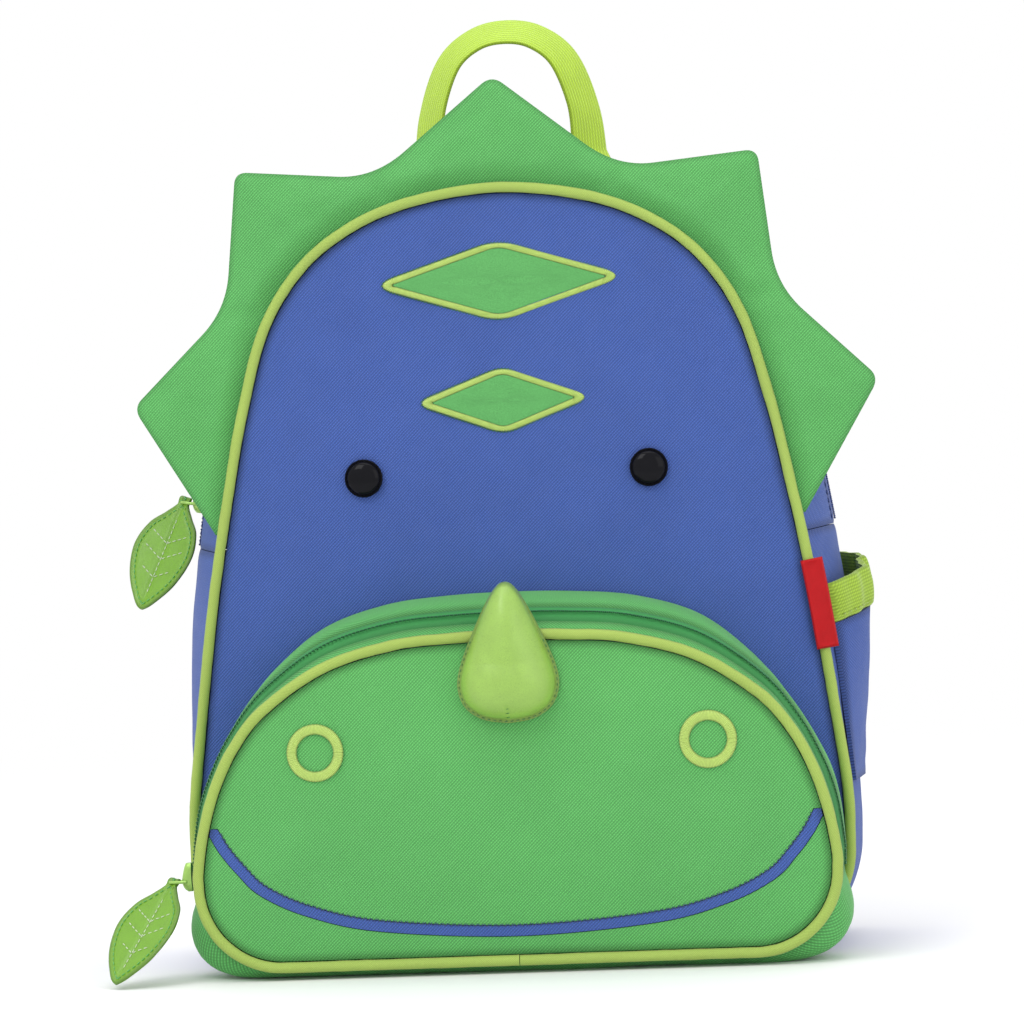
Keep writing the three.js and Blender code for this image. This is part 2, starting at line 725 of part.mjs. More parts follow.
// Outer edge of the right half of the frill, with its tips and valleys rounded, paired with the sewn edge
function frillEdge(endShare) {
  const height = frillTop - rimLift;
  const end = placeOn(faceOutline, endShare);
  const root = end.point.clone().addScaledVector(end.outward, frillEndReach);
  const corners = frillCorners.map((row) => ({
    place: new THREE.Vector2(row.across * frillHalfWidth, rimLift + row.rise * height),
    along: row.along,
  }));
  corners.push({ place: root, along: 1 });
  const between = (a, b, share) => ({
    place: a.place.clone().lerp(b.place, share),
    along: THREE.MathUtils.lerp(a.along, b.along, share),
  });
  const mirror = { place: new THREE.Vector2(-corners[1].place.x, corners[1].place.y), along: -corners[1].along };
  const rows = [];
  corners.slice(0, -1).forEach((corner, i) => {
    const before = i === 0 ? mirror : corners[i - 1];
    const after = corners[i + 1];
    const start = between(corner, before, frillTipRound);
    const finishAt = between(corner, after, frillTipRound);
    [0, 0.25, 0.5, 0.75, 1].forEach((t) => {
      if (i === 0 && t < 0.5) return;
      const first = between(start, corner, t);
      const second = between(corner, finishAt, t);
      rows.push(between(first, second, t));
    });
    rows.push(between(corner, after, 0.5));
  });
  rows.push(corners[corners.length - 1]);
  return rows;
}

function addFrill() {
  const endShare = shareAtHeight(faceOutline, frillEndHeight);
  const right = frillEdge(endShare);
  const left = right.slice(1).reverse().map((row) => ({
    place: new THREE.Vector2(-row.place.x, row.place.y),
    along: -row.along,
  }));
  const seamFront = frontEdge + seamGap;
  const shares = [0, 0.22, 0.5, 0.82, 1];
  const sections = [...left, ...right].map(({ place, along }) => {
    const share = 0.5 - along * (0.5 - endShare);
    const sewn = placeOn(faceOutline, share);
    const clear = gussetSwellAt(sewn, (seamFront + frillSeam - frontEdge) / gussetWidth) + seamGap;
    const root = sewn.point.clone().addScaledVector(sewn.outward, clear);
    const reach = root.distanceTo(place);
    const face = (side) => shares.map((spot) => {
      const rise = THREE.MathUtils.smoothstep(spot * reach, frillSeamWidth, frillFullAt);
      const fall = 1 - THREE.MathUtils.smoothstep(spot, 0.78, 1.04);
      const half = (frillSeam + (frillPadding - frillSeam) * rise * fall) / 2;
      const point = root.clone().lerp(place, spot);
      return new THREE.Vector3(point.x, seamFront + frillSeam / 2 + side * half, point.y);
    });
    return [...face(-1), ...face(1).reverse()];
  });
  addPiece('frill', loft(sections), colour.green, finish.fabric);
}

function pocketSkin(climb, across, lift) {
  const mouth = THREE.MathUtils.lerp(pocketFrontMouth, pocketBackMouth, across);
  const height = THREE.MathUtils.lerp(pocketBottom, mouth, Math.min(climb, 1)) + bindingHeight * Math.max(climb - 1, 0);
  const share = shareAtHeight(faceOutline, height);
  const place = placeOn(faceOutline, share);
  const depth = pocketWidth * (across - 0.5);
  const wall = gussetSwellAt(place, (depth - frontEdge) / gussetWidth);
  const swell = pocketSwell * lookUp(pocketRows, 'climb', 'swell', Math.min(climb, 1));
  const pinch = pocketPinch * Math.min(climb, 1) * Math.exp(-(((across - 0.5) / pocketPinchWidth) ** 2));
  const stand = swell * Math.sin(Math.PI * across) ** pocketFullness * (1 - pinch);
  const point = place.point.clone().addScaledVector(place.outward, wall + clothThickness + 2 * seamGap + stand + lift);
  return new THREE.Vector3(point.x, depth, point.y);
}

function addSidePocket() {
  const strip = evenStrip(0, 1, pocketSteps);
  addPiece('side_pocket', band(pocketSkin, evenSteps(pocketClimbSteps), strip), colour.blue, finish.fabric);
  const gathered = (climb, across, lift) => {
    const ripple = gatherDepth * Math.sin(2 * Math.PI * bindingGathers * across) * Math.sin(Math.PI * across);
    return pocketSkin(climb, across, lift > -clothThickness ? lift + ripple : lift);
  };
  const start = 1 + seamGap / bindingHeight;
  const climbs = [start, (start + 2) / 2, 2];
  const lifts = evenStrip(0, 1, bindingSteps).map((spot) => ({ ...spot, lift: bindingThickness - clothThickness }));
  addPiece('pocket_binding', band(gathered, climbs, lifts), colour.lime, finish.fabric);

  const label = [0, 0.25, 0.5, 0.75, 1].map((t) => {
    const { point, outward } = placeOn(faceOutline, shareAtHeight(faceOutline, labelBottom + t * labelLength));
    const inner = point.clone().addScaledVector(outward, -labelSewn);
    const outer = point.clone().addScaledVector(outward, labelWidth - labelSewn);
    const front = frontPlane - pipingRadius - seamGap - labelThickness;
    return [[inner, front], [outer, front], [outer, front + labelThickness], [inner, front + labelThickness]]
      .map(([place, y]) => new THREE.Vector3(place.x, y, place.y));
  });
  addPiece('side_label', loft(label), colour.red, finish.fabric);
}

// Leaf with a short stem, in its own plane: the stem's end is the origin, the tip points down
function leafGeometry() {
  const stemHalf = leafStem / 2;
  const blade = leafLength - leafStemLength;
  const shape = new THREE.Shape();
  shape.moveTo(stemHalf, 0);
  shape.lineTo(stemHalf, -leafNeck);
  const right = leafRows.map((row) => new THREE.Vector2(
    (row.reach * leafWidth) / 2, -leafStemLength - row.rise * blade,
  ));
  shape.splineThru(right);
  const left = right.slice(0, -1).reverse().map((point) => new THREE.Vector2(-point.x, point.y));
  shape.splineThru([...left, new THREE.Vector2(-stemHalf, -leafNeck)]);
  shape.lineTo(-stemHalf, 0);
  const outline = shape.getSpacedPoints(30).slice(0, -1);
  const ring = (size, z) => outline.map((point) => new THREE.Vector3(
    point.x * size, THREE.MathUtils.lerp(-leafLength / 2, point.y, size), z,
  ));
  const half = leafThickness / 2;
  return loft([ring(0, -half), ring(1, -half), ring(1, half), ring(0, half)], false);
}

// Slider body with a bail over it: origin at its middle, long side along y, thickness along z
function sliderGeometry() {
  return loft(sliderRows.map(({ along, half, high }) => {
    const x = half * sliderWidth;
    const y = along * sliderLength;
    const top = high * sliderThickness;
    const shoulder = 0.7 * top;
    return [[-x, 0], [x, 0], [x, shoulder], [0.6 * x, top], [-0.6 * x, top], [-x, shoulder]]
      .map(([across, up]) => new THREE.Vector3(across, y, up));
  }));
}

// Basis from a long direction and a facing, as columns across, along and facing
function turned(along, facing) {
  const y = along.clone().normalize();
  const z = facing.clone().addScaledVector(y, -facing.dot(y)).normalize();
  const x = new THREE.Vector3().crossVectors(y, z);
  return new THREE.Quaternion().setFromRotationMatrix(new THREE.Matrix4().makeBasis(x, y, z));
}

function addPull(name, skin, share, across, hang, facing) {
  const seat = skin(share, across, zipTeethHeight + seamGap);
  const outwards = skin(share, across, 1).sub(skin(share, across, 0));
  const along = skin(share + 0.002, across, 0).sub(skin(share, across, 0));
  const slider = addPiece(`${name}_slider`, sliderGeometry(), colour.stitch, finish.painted);
  slider.quaternion.copy(turned(along, outwards));
  slider.position.copy(seat);
  const leaf = addPiece(`${name}_leaf`, leafGeometry(), colour.leaf, finish.leather);
  leaf.quaternion.copy(turned(hang.clone().negate(), facing));
  outwards.normalize();
  const stemSide = new THREE.Vector3(leafStem / 2, 0, 0).applyQuaternion(leaf.quaternion);
  const stemFace = new THREE.Vector3(0, 0, leafThickness / 2).applyQuaternion(leaf.quaternion);
  const stemReach = Math.abs(stemSide.dot(outwards)) + Math.abs(stemFace.dot(outwards));
  leaf.position.copy(seat).addScaledVector(outwards, sliderThickness + seamGap + stemReach);
}

function addPulls() {
  const mainShare = 1 - shareAtHeight(faceOutline, mainSliderHeight);
  addPull('main', gussetSkin, mainShare, 0.5, mainHang, mainFacing);
  const muzzleShare = 1 - shareAtHeight(muzzleOutline, muzzleZipHeight + sliderLength / 2);
  addPull('muzzle', muzzleSkin, muzzleShare, muzzleZipPlace, muzzleHang, muzzleFacing);
}

// Flat strap through a row of places, each with its width, thickness and the direction of its width
function strapLoft(places, chamfer) {
  return loft(places.map(({ centre, across, facing, width, thickness }) => {
    const halfWidth = width / 2;
    const halfThick = thickness / 2;
    const cut = chamfer * halfThick;
    const corners = [
      [-halfWidth, -halfThick + cut], [-halfWidth + cut, -halfThick], [halfWidth - cut, -halfThick],
      [halfWidth, -halfThick + cut], [halfWidth, halfThick - cut], [halfWidth - cut, halfThick],
      [-halfWidth + cut, halfThick], [-halfWidth, halfThick - cut],
    ];
    return corners.map(([side, up]) => centre.clone().addScaledVector(across, side).addScaledVector(facing, up));
  }));
}

function addHandle() {
  const seamShare = 0.5 - handleSpan / 2 / faceOutline.getLength();
  const seamHeight = placeOn(faceOutline, seamShare).point.y - handleSewn;
  const height = handleTop - seamHeight;
  const depth = backPlane + pipingRadius + seamGap + handleThickness / 2;
  const right = handleRows.map((row) => new THREE.Vector3(
    (row.reach * handleSpan) / 2, depth, seamHeight + row.rise * height,
  ));
  const left = right.slice(0, -1).reverse().map((point) => new THREE.Vector3(-point.x, point.y, point.z));
  const path = new THREE.CatmullRomCurve3([...right, ...left], false, 'centripetal');
  const places = evenSteps(handleSteps).map((t) => {
    const tangent = path.getTangentAt(t);
    const centre = path.getPointAt(t);
    const turn = lookUp(handleRows, 'rise', 'turn', (centre.z - seamHeight) / height);
    const tilt = THREE.MathUtils.degToRad(THREE.MathUtils.lerp(handleTilt, 90, turn));
    const outward = new THREE.Vector3(tangent.z, 0, -tangent.x);
    const across = outward.clone().multiplyScalar(Math.sin(tilt)).add(new THREE.Vector3(0, Math.cos(tilt), 0));
    const facing = new THREE.Vector3().crossVectors(tangent, across).normalize();
    centre.y += (handleWidth / 2) * Math.cos(tilt) * (1 - turn);
    return { centre, across, facing, width: handleWidth, thickness: handleThickness };
  });
  addPiece('top_handle', strapLoft(places, 0.3), colour.webbing, finish.fabric);
}

function addShoulderStrap(side, sign) {
  const against = backSurface(strapTopSpacing / 2, strapTop) + seamGap + strapPadding / 2;
  const points = strapRows.map((row) => new THREE.Vector3(
    (sign * THREE.MathUtils.lerp(strapTopSpacing, strapBottomSpacing, row.sweep)) / 2,
    against + row.standOff * strapStandOff,
    THREE.MathUtils.lerp(strapTop, strapBottom, row.drop),
  ));
  const path = new THREE.CatmullRomCurve3(points, false, 'centripetal');
  const sideways = new THREE.Vector3(1, 0, 0);
  const frameAt = (curve, t, width, thickness) => {
    const tangent = curve.getTangentAt(t);
    const across = sideways.clone().addScaledVector(tangent, -sideways.dot(tangent)).normalize();
    const facing = new THREE.Vector3().crossVectors(tangent, across);
    return { centre: curve.getPointAt(t), across, facing, width, thickness };
  };
  const places = evenSteps(strapSteps).map((t) => {
    const drop = (strapTop - path.getPointAt(t).z) / (strapTop - strapBottom);
    return frameAt(path, t, strapWidth * lookUp(strapRows, 'drop', 'width', drop), strapPadding);
  });
  addPiece(`shoulder_strap_${side}`, strapLoft(places, 0.7), colour.blue, finish.fabric);

  const end = path.getPointAt(1);
  const direction = path.getTangentAt(1);
  const { across, facing } = frameAt(path, 1, strapWidth, strapPadding);
  const lockCentre = end.clone().addScaledVector(direction, lockHeight / 2 + seamGap);
  const slotHeight = (lockHeight - 3 * lockBar) / 2;
  const frame = new THREE.Shape();
  frame.moveTo(-lockWidth / 2, -lockHeight / 2);
  frame.lineTo(lockWidth / 2, -lockHeight / 2);
  frame.lineTo(lockWidth / 2, lockHeight / 2);
  frame.lineTo(-lockWidth / 2, lockHeight / 2);
  frame.closePath();
  [-1, 1].forEach((place) => {
    const middle = (place * (lockBar + slotHeight)) / 2;
    const slot = new THREE.Path();
    const halfSlot = lockWidth / 2 - lockBar;
    slot.moveTo(-halfSlot, middle - slotHeight / 2);
    slot.lineTo(-halfSlot, middle + slotHeight / 2);
    slot.lineTo(halfSlot, middle + slotHeight / 2);
    slot.lineTo(halfSlot, middle - slotHeight / 2);
    slot.closePath();
    frame.holes.push(slot);
  });
  const lockSolid = new THREE.ExtrudeGeometry(frame, { depth: lockThickness, bevelEnabled: false });
  const lock = addPiece(`ladder_lock_${side}`, lockSolid, colour.black, finish.plastic);
  const basis = new THREE.Matrix4().makeBasis(across, direction.clone().negate(), facing);
  lock.quaternion.setFromRotationMatrix(basis);
  lock.position.copy(lockCentre).addScaledVector(facing, -lockThickness / 2);

  const under = lockThickness / 2 + seamGap + webbingThickness / 2;
  const webStart = lockCentre.clone().addScaledVector(direction, -lockHeight / 2).addScaledVector(facing, under);
  const webBelow = lockCentre.clone().addScaledVector(direction, lockHeight).addScaledVector(facing, under);
  const anchorDepth = backPlane + pipingRadius + seamGap;
  const webDepth = anchorDepth + clothThickness + seamGap + webbingThickness / 2;
  const webEnd = new THREE.Vector3((sign * (anchorSpacing - anchorSize / 2)) / 2, webDepth, anchorHeight - webbingLean);
  const webFlat = webEnd.clone().add(new THREE.Vector3(-sign * webbingLean, 0, anchorSize / 3));
  const webPath = new THREE.CatmullRomCurve3([webStart, webBelow, webFlat, webEnd], false, 'centripetal');
  const webPlaces = evenSteps(webbingSteps).map((t) => frameAt(webPath, t, webbingWidth, webbingThickness));
  addPiece(`strap_webbing_${side}`, strapLoft(webPlaces, 0.3), colour.webbing, finish.fabric);

  const tab = [[0.5, -0.5], [0.5, -0.2], [-0.15, 0.5], [-0.5, 0.25], [-0.5, -0.5]];
  const tabRing = (y) => tab.map(([x, z]) => new THREE.Vector3(
    sign * (anchorSpacing / 2 + x * anchorSize), y, anchorHeight + z * anchorSize,
  ));
  const anchor = loft([tabRing(anchorDepth), tabRing(anchorDepth + clothThickness)]);
  addPiece(`strap_anchor_${side}`, anchor, colour.blue, finish.fabric);
}

addBody();
addMuzzle();
addFaceDetails();
addHorn();
addFrill();
addSidePocket();
addPulls();
addHandle();
addShoulderStrap('left', -1);
addShoulderStrap('right', 1);

export default bag;
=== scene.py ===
"""Finished look of a small hollow fabric backpack with an animal face.

Lengths are millimetres until a mesh is made, which turns them into metres. +Z is up, the face looks along -Y,
and left and right are the viewer's.
"""

import logging
import math
from collections.abc import Callable, Sequence
from dataclasses import dataclass, field
from enum import Enum
from functools import cached_property

import bmesh
import bpy
import numpy as np
from mathutils import Matrix, Vector, noise


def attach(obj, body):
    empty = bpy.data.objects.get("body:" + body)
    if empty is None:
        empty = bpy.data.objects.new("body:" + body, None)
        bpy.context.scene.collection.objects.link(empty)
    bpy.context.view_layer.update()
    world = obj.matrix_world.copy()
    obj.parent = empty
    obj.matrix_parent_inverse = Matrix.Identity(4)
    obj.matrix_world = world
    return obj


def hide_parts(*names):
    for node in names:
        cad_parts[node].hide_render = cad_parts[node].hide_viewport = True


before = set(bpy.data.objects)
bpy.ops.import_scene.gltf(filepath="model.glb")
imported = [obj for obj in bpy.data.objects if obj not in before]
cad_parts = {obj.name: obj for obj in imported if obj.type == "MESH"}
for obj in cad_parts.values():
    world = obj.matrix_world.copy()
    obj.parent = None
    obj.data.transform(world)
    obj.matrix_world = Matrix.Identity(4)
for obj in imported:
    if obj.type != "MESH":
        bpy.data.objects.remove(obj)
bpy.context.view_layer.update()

MM = 0.001
SEAM = 0.3
FAR_FROM_SEAM = 20.0
LOG = logging.getLogger("backpack")

Array = np.ndarray
Surface = Callable[[Array, Array], Array]


class Dye(Enum):
    """Colours of the bag's materials, as linear red, green and blue."""

    BLUE = (0.06, 0.124, 0.44)
    GREEN = (0.127, 0.5, 0.13)
    FELT = (0.11, 0.385, 0.11)
    ZIP_BLUE = (0.045, 0.09, 0.33)
    ZIP_GREEN = (0.055, 0.36, 0.09)
    COIL_GREEN = (0.02, 0.14, 0.045)
    LIME = (0.36, 0.49, 0.1)
    WEBBING = (0.42, 0.64, 0.015)
    ELASTIC = (0.33, 0.51, 0.03)
    SATIN = (0.46, 0.64, 0.13)
    LEAF = (0.15, 0.35, 0.008)
    HORN = (0.28, 0.47, 0.075)
    THREAD_WHITE = (0.72, 0.82, 0.6)
    THREAD_GREEN = (0.03, 0.2, 0.03)
    THREAD_BLUE = (0.02, 0.045, 0.2)
    BLACK = (0.006, 0.006, 0.008)
    LOCK = (0.018, 0.018, 0.022)
    RED = (0.55, 0.008, 0.012)
    SLIDER = (0.33, 0.55, 0.12)


class Graph:
    """Nodes of one material around its shader."""

    def __init__(self, name: str, constants: dict[str, object]) -> None:
        """Start a material.

        Args:
            name: Name of the material.
            constants: Values of the shader's own sockets that are the same all over the surface.
        """
        self.material = bpy.data.materials.new(name)
        self.material.use_nodes = True
        self.tree = self.material.node_tree
        self.shader = self.tree.nodes["Principled BSDF"]
        for socket, value in constants.items():
            self.shader.inputs[socket].default_value = value

    def add(self, kind: str, sockets: dict[str | int, object], **settings: object) -> bpy.types.Node:
        """Add a node.

        Args:
            kind: Node type after its common prefix.
            sockets: Inputs by name or place, each a value or an output socket.
            **settings: Properties of the node.

        Returns:
            The new node.
        """
        node = self.tree.nodes.new(f"ShaderNode{kind}")
        for key, value in settings.items():
            setattr(node, key, value)
        for key, value in sockets.items():
            if isinstance(value, bpy.types.NodeSocket):
                self.tree.links.new(value, node.inputs[key])
            else:
                node.inputs[key].default_value = value
        return node

    def feed(self, socket: str, value: bpy.types.NodeSocket) -> None:
        """Link an output to one of the shader's sockets."""
        self.tree.links.new(value, self.shader.inputs[socket])

    def cloth(self, turn: float = 0.0) -> bpy.types.NodeSocket:
        """Cloth coordinates in millimetres, turned by an angle in radians."""
        stored = self.add("Attribute", {}, attribute_name="cloth")
        return self.add("Mapping", {"Vector": stored.outputs["Vector"], "Rotation": (0, 0, turn)}).outputs[0]

    def place(self) -> bpy.types.NodeSocket:
        """Place on the object in millimetres, for pieces without cloth coordinates."""
        stored = self.add("TexCoord", {})
        return self.add(
            "Mapping", {"Vector": stored.outputs["Object"], "Scale": (1000, 1000, 1000)}
        ).outputs[0]

    def seam(self, reach: float, depth: float) -> bpy.types.NodeSocket:
        """Painted shade: a factor that falls to a depth at a seam and is 1 beyond its reach, for darkening
        colour near seams.
        """
        stored = self.add("Attribute", {}, attribute_name="cloth")
        distance = self.add("SeparateXYZ", {0: stored.outputs["Vector"]}).outputs["Z"]
        sockets = {"Value": distance, "From Max": reach, "To Min": depth, "To Max": 1.0}
        return self.add("MapRange", sockets, interpolation_type="SMOOTHSTEP").outputs[0]

    def ridges(
        self, coords: bpy.types.NodeSocket, pitch: float, way: str = "X", wobble: float = 0.0
    ) -> bpy.types.NodeSocket:
        """Round ridges, one each pitch, across the named coordinate."""
        sockets = {"Vector": coords, "Scale": math.pi / 10 / pitch, "Distortion": wobble, "Detail": 1.0}
        return self.add("TexWave", sockets, bands_direction=way).outputs["Fac"]

    def clouds(self, coords: bpy.types.NodeSocket, size: float, detail: float = 2.0) -> bpy.types.NodeSocket:
        """Cloudy noise with features of a size."""
        return self.add("TexNoise", {"Vector": coords, "Scale": 1 / size, "Detail": detail}).outputs["Fac"]

    def span(self, value: bpy.types.NodeSocket, low: float, high: float) -> bpy.types.NodeSocket:
        """A value from 0 to 1 spread from low to high."""
        return self.add("MapRange", {"Value": value, "To Min": low, "To Max": high}).outputs[0]

    def times(
        self, first: bpy.types.NodeSocket, second: bpy.types.NodeSocket | float
    ) -> bpy.types.NodeSocket:
        """Product of two values."""
        return self.add("Math", {0: first, 1: second}, operation="MULTIPLY").outputs[0]

    def plus(self, first: bpy.types.NodeSocket, second: bpy.types.NodeSocket | float) -> bpy.types.NodeSocket:
        """Sum of two values."""
        return self.add("Math", {0: first, 1: second}, operation="ADD").outputs[0]

    def mix(self, share: object, first: object, second: object, blend: str = "MIX") -> bpy.types.NodeSocket:
        """Mix of two colours."""
        sockets = {0: share, 6: first, 7: second}
        return self.add("Mix", sockets, data_type="RGBA", blend_type=blend).outputs[2]

    def shade(self, colour: bpy.types.NodeSocket, factor: bpy.types.NodeSocket) -> bpy.types.NodeSocket:
        """Colour darkened or lightened by a factor."""
        return self.mix(1.0, colour, factor, "MULTIPLY")

    def tones(self, share: bpy.types.NodeSocket, dye: Dye, low: float, high: float) -> bpy.types.NodeSocket:
        """Dye multiplied by low where the share is 0 and by high where it is 1."""
        return self.mix(share, tinted(dye.value, low), tinted(dye.value, high))

    def bump(self, height: bpy.types.NodeSocket, strength: float, depth: float) -> None:
        """Raise the surface by a height, its full depth in millimetres."""
        node = self.add("Bump", {"Height": height, "Strength": strength, "Distance": depth * MM})
        self.feed("Normal", node.outputs[0])


def tinted(colour: Sequence[float], share: float) -> tuple[float, float, float, float]:
    """Colour multiplied by a share, with full alpha."""
    return (colour[0] * share, colour[1] * share, colour[2] * share, 1.0)


@dataclass(frozen=True)
class Finish:
    """A surface finish, made into a material once."""

    name: str
    dye: Dye

    def material(self) -> bpy.types.Material:
        """The finish as a Blender material."""
        return bpy.data.materials.get(self.name) or self.make()

    def make(self) -> bpy.types.Material:
        """Build the material."""
        raise NotImplementedError


@dataclass(frozen=True)
class WovenCloth(Finish):
    """Woven polyester with fine diagonal ridges."""

    pitch: float = 0.95
    gap: float = 0.48
    sheen: float = 0.12
    relief: float = 0.22

    def make(self) -> bpy.types.Material:
        """Build the weave, its colour changes and the painted shade along its seams."""
        graph = Graph(
            self.name, {"Sheen Weight": self.sheen, "Sheen Roughness": 0.4, "Specular IOR Level": 0.35}
        )
        diagonal = graph.cloth(math.pi / 4)
        straight = graph.cloth()
        ridge = graph.ridges(diagonal, self.pitch, "X", 0.6)
        crossing = graph.ridges(diagonal, self.pitch, "Y", 0.6)
        height = graph.times(ridge, graph.span(crossing, 0.45, 1.0))
        threads = graph.clouds(straight, 0.5, 1.0)
        colour = graph.tones(graph.span(height, 0.1, 1.0), self.dye, self.gap, 1.12)
        colour = graph.shade(colour, graph.span(threads, 0.86, 1.14))
        colour = graph.shade(colour, graph.span(graph.clouds(straight, 34.0, 3.0), 0.9, 1.1))
        # Painted shade: the cloth is darker within 4 mm of a seam.
        colour = graph.shade(colour, graph.seam(4.0, 0.62))
        graph.feed("Base Color", colour)
        graph.feed("Roughness", graph.span(graph.clouds(straight, 6.0), 0.62, 0.86))
        graph.bump(graph.plus(height, graph.times(threads, 0.5)), 0.8, self.relief)
        return graph.material


@dataclass(frozen=True)
class SatinThread(Finish):
    """Threads that lie side by side across a stitched line."""

    pitch: float = 0.5
    sheen: float = 0.2
    specular: float = 0.5

    def make(self) -> bpy.types.Material:
        """Build the threads."""
        constants = {"Sheen Weight": self.sheen, "Specular IOR Level": self.specular, "Anisotropic": 0.35}
        graph = Graph(self.name, constants)
        coords = graph.cloth()
        thread = graph.ridges(coords, self.pitch, "X", 0.4)
        colour = graph.tones(thread, self.dye, 0.62, 1.1)
        colour = graph.shade(colour, graph.span(graph.clouds(coords, 4.0), 0.88, 1.1))
        # Painted shade: the threads are darker near the band's edges and near seams.
        colour = graph.shade(colour, graph.seam(0.7, 0.6))
        graph.feed("Base Color", colour)
        graph.feed("Roughness", graph.span(thread, 0.6, 0.38))
        graph.bump(thread, 0.7, 0.12)
        return graph.material


@dataclass(frozen=True)
class Webbing(Finish):
    """Strap webbing with ribs along it and a chevron across it."""

    rib: float = 2.1

    def make(self) -> bpy.types.Material:
        """Build the ribs and the chevron."""
        graph = Graph(self.name, {"Sheen Weight": 0.15, "Specular IOR Level": 0.4})
        coords = graph.cloth()
        rib = graph.ridges(coords, self.rib, "Y", 0.2)
        weft = graph.ridges(graph.cloth(math.pi / 4), 1.0, "X", 0.4)
        height = graph.times(graph.span(rib, 0.4, 1.0), graph.span(weft, 0.5, 1.0))
        colour = graph.tones(height, self.dye, 0.5, 1.18)
        colour = graph.shade(colour, graph.span(graph.clouds(coords, 9.0, 3.0), 0.9, 1.08))
        # Painted shade: the webbing is darker near its edges and seams.
        colour = graph.shade(colour, graph.seam(1.6, 0.75))
        graph.feed("Base Color", colour)
        graph.feed("Roughness", graph.span(height, 0.75, 0.5))
        graph.bump(height, 0.8, 0.25)
        return graph.material


@dataclass(frozen=True)
class FauxLeather(Finish):
    """Soft faux leather with a fine grain and a satin gloss."""

    grain: float = 0.8
    gloss: float = 0.36

    def make(self) -> bpy.types.Material:
        """Build the grain, its creases and the painted shade along its edge."""
        graph = Graph(self.name, {"Coat Weight": 0.25, "Coat Roughness": 0.28, "Specular IOR Level": 0.5})
        coords = graph.cloth()
        cells = graph.add(
            "TexVoronoi", {"Vector": coords, "Scale": 1 / self.grain}, feature="DISTANCE_TO_EDGE"
        )
        grain = graph.add("MapRange", {"Value": cells.outputs["Distance"], "From Max": 0.12}).outputs[0]
        cloud = graph.clouds(coords, 7.0, 4.0)
        colour = graph.tones(grain, self.dye, 0.82, 1.06)
        colour = graph.shade(colour, graph.span(cloud, 0.86, 1.12))
        # Painted shade: the leather is darker within 2.4 mm of its edge.
        colour = graph.shade(colour, graph.seam(2.4, 0.6))
        graph.feed("Base Color", colour)
        graph.feed("Roughness", graph.span(cloud, self.gloss - 0.06, self.gloss + 0.12))
        graph.bump(graph.plus(grain, cloud), 0.35, 0.09)
        return graph.material


@dataclass(frozen=True)
class Felt(Finish):
    """Short matted fibres of a sewn-on patch."""

    def make(self) -> bpy.types.Material:
        """Build the fibres."""
        graph = Graph(self.name, {"Sheen Weight": 0.3, "Sheen Roughness": 0.5, "Specular IOR Level": 0.2})
        coords = graph.cloth()
        fibre = graph.clouds(coords, 0.55, 3.0)
        colour = graph.tones(graph.span(fibre, 0.0, 1.0), self.dye, 0.6, 1.3)
        colour = graph.shade(colour, graph.span(graph.clouds(coords, 12.0, 3.0), 0.92, 1.08))
        # Painted shade: the felt is darker near the patch's edge.
        colour = graph.shade(colour, graph.seam(1.6, 0.7))
        graph.feed("Base Color", colour)
        graph.feed("Roughness", graph.span(fibre, 0.8, 0.95))
        graph.bump(fibre, 0.7, 0.3)
        return graph.material


@dataclass(frozen=True)
class Moulded(Finish):
    """Moulded or painted hard surface."""

    gloss: float = 0.35
    coat: float = 0.0
    metal: float = 0.0
    specular: float = 0.5

    def make(self) -> bpy.types.Material:
        """Build the fine speckle, the colour changes and the handling marks."""
        constants = {
            "Coat Weight": self.coat, "Coat Roughness": 0.04, "Metallic": self.metal,
            "Specular IOR Level": self.specular,
        }
        graph = Graph(self.name, constants)
        coords = graph.place()
        speckle = graph.clouds(coords, 0.6, 3.0)
        marks = graph.clouds(coords, 5.0, 4.0)
        graph.feed("Base Color", graph.tones(marks, self.dye, 0.8, 1.2))
        graph.feed("Roughness", graph.span(marks, self.gloss * 0.8, self.gloss * 1.3))
        graph.bump(speckle, 0.2, 0.04)
        return graph.material


BLUE_CLOTH = WovenCloth("blue_cloth", Dye.BLUE)
GREEN_CLOTH = WovenCloth("green_cloth", Dye.GREEN)
PIPING_CLOTH = WovenCloth("piping_cloth", Dye.LIME, pitch=0.6, gap=0.78, relief=0.08)
BLUE_PIPING_CLOTH = WovenCloth("blue_piping_cloth", Dye.BLUE, pitch=0.6, gap=0.75, relief=0.08)
ZIP_TAPE_BLUE = WovenCloth("zip_tape_blue", Dye.ZIP_BLUE, pitch=0.55, gap=0.7, relief=0.08)
ZIP_TAPE_GREEN = WovenCloth("zip_tape_green", Dye.ZIP_GREEN, pitch=0.55, gap=0.7, relief=0.08)
LIME_WEBBING = Webbing("ribbed_webbing", Dye.WEBBING)
ELASTIC = Webbing("gathered_elastic", Dye.ELASTIC, rib=1.1)
SATIN = SatinThread("satin_stitch", Dye.SATIN)
TAG_WEAVE = SatinThread("tag_weave", Dye.RED, pitch=0.35, sheen=0.03, specular=0.15)
GREEN_FELT = Felt("green_felt", Dye.FELT)
LEAF_LEATHER = FauxLeather("leaf_faux_leather", Dye.LEAF)
HORN_LEATHER = FauxLeather("horn_faux_leather", Dye.HORN, grain=0.6, gloss=0.3)
WHITE_THREAD = SatinThread("white_thread", Dye.THREAD_WHITE, pitch=0.3)
GREEN_THREAD = SatinThread("green_thread", Dye.THREAD_GREEN, pitch=0.3)
BLUE_THREAD = SatinThread("blue_thread", Dye.THREAD_BLUE, pitch=0.3)
LIME_THREAD = SatinThread("lime_thread", Dye.LIME, pitch=0.3)
LEAF_THREAD = SatinThread("leaf_thread", Dye.GREEN, pitch=0.3)
GREEN_COIL = Moulded("green_coil", Dye.COIL_GREEN, gloss=0.4)
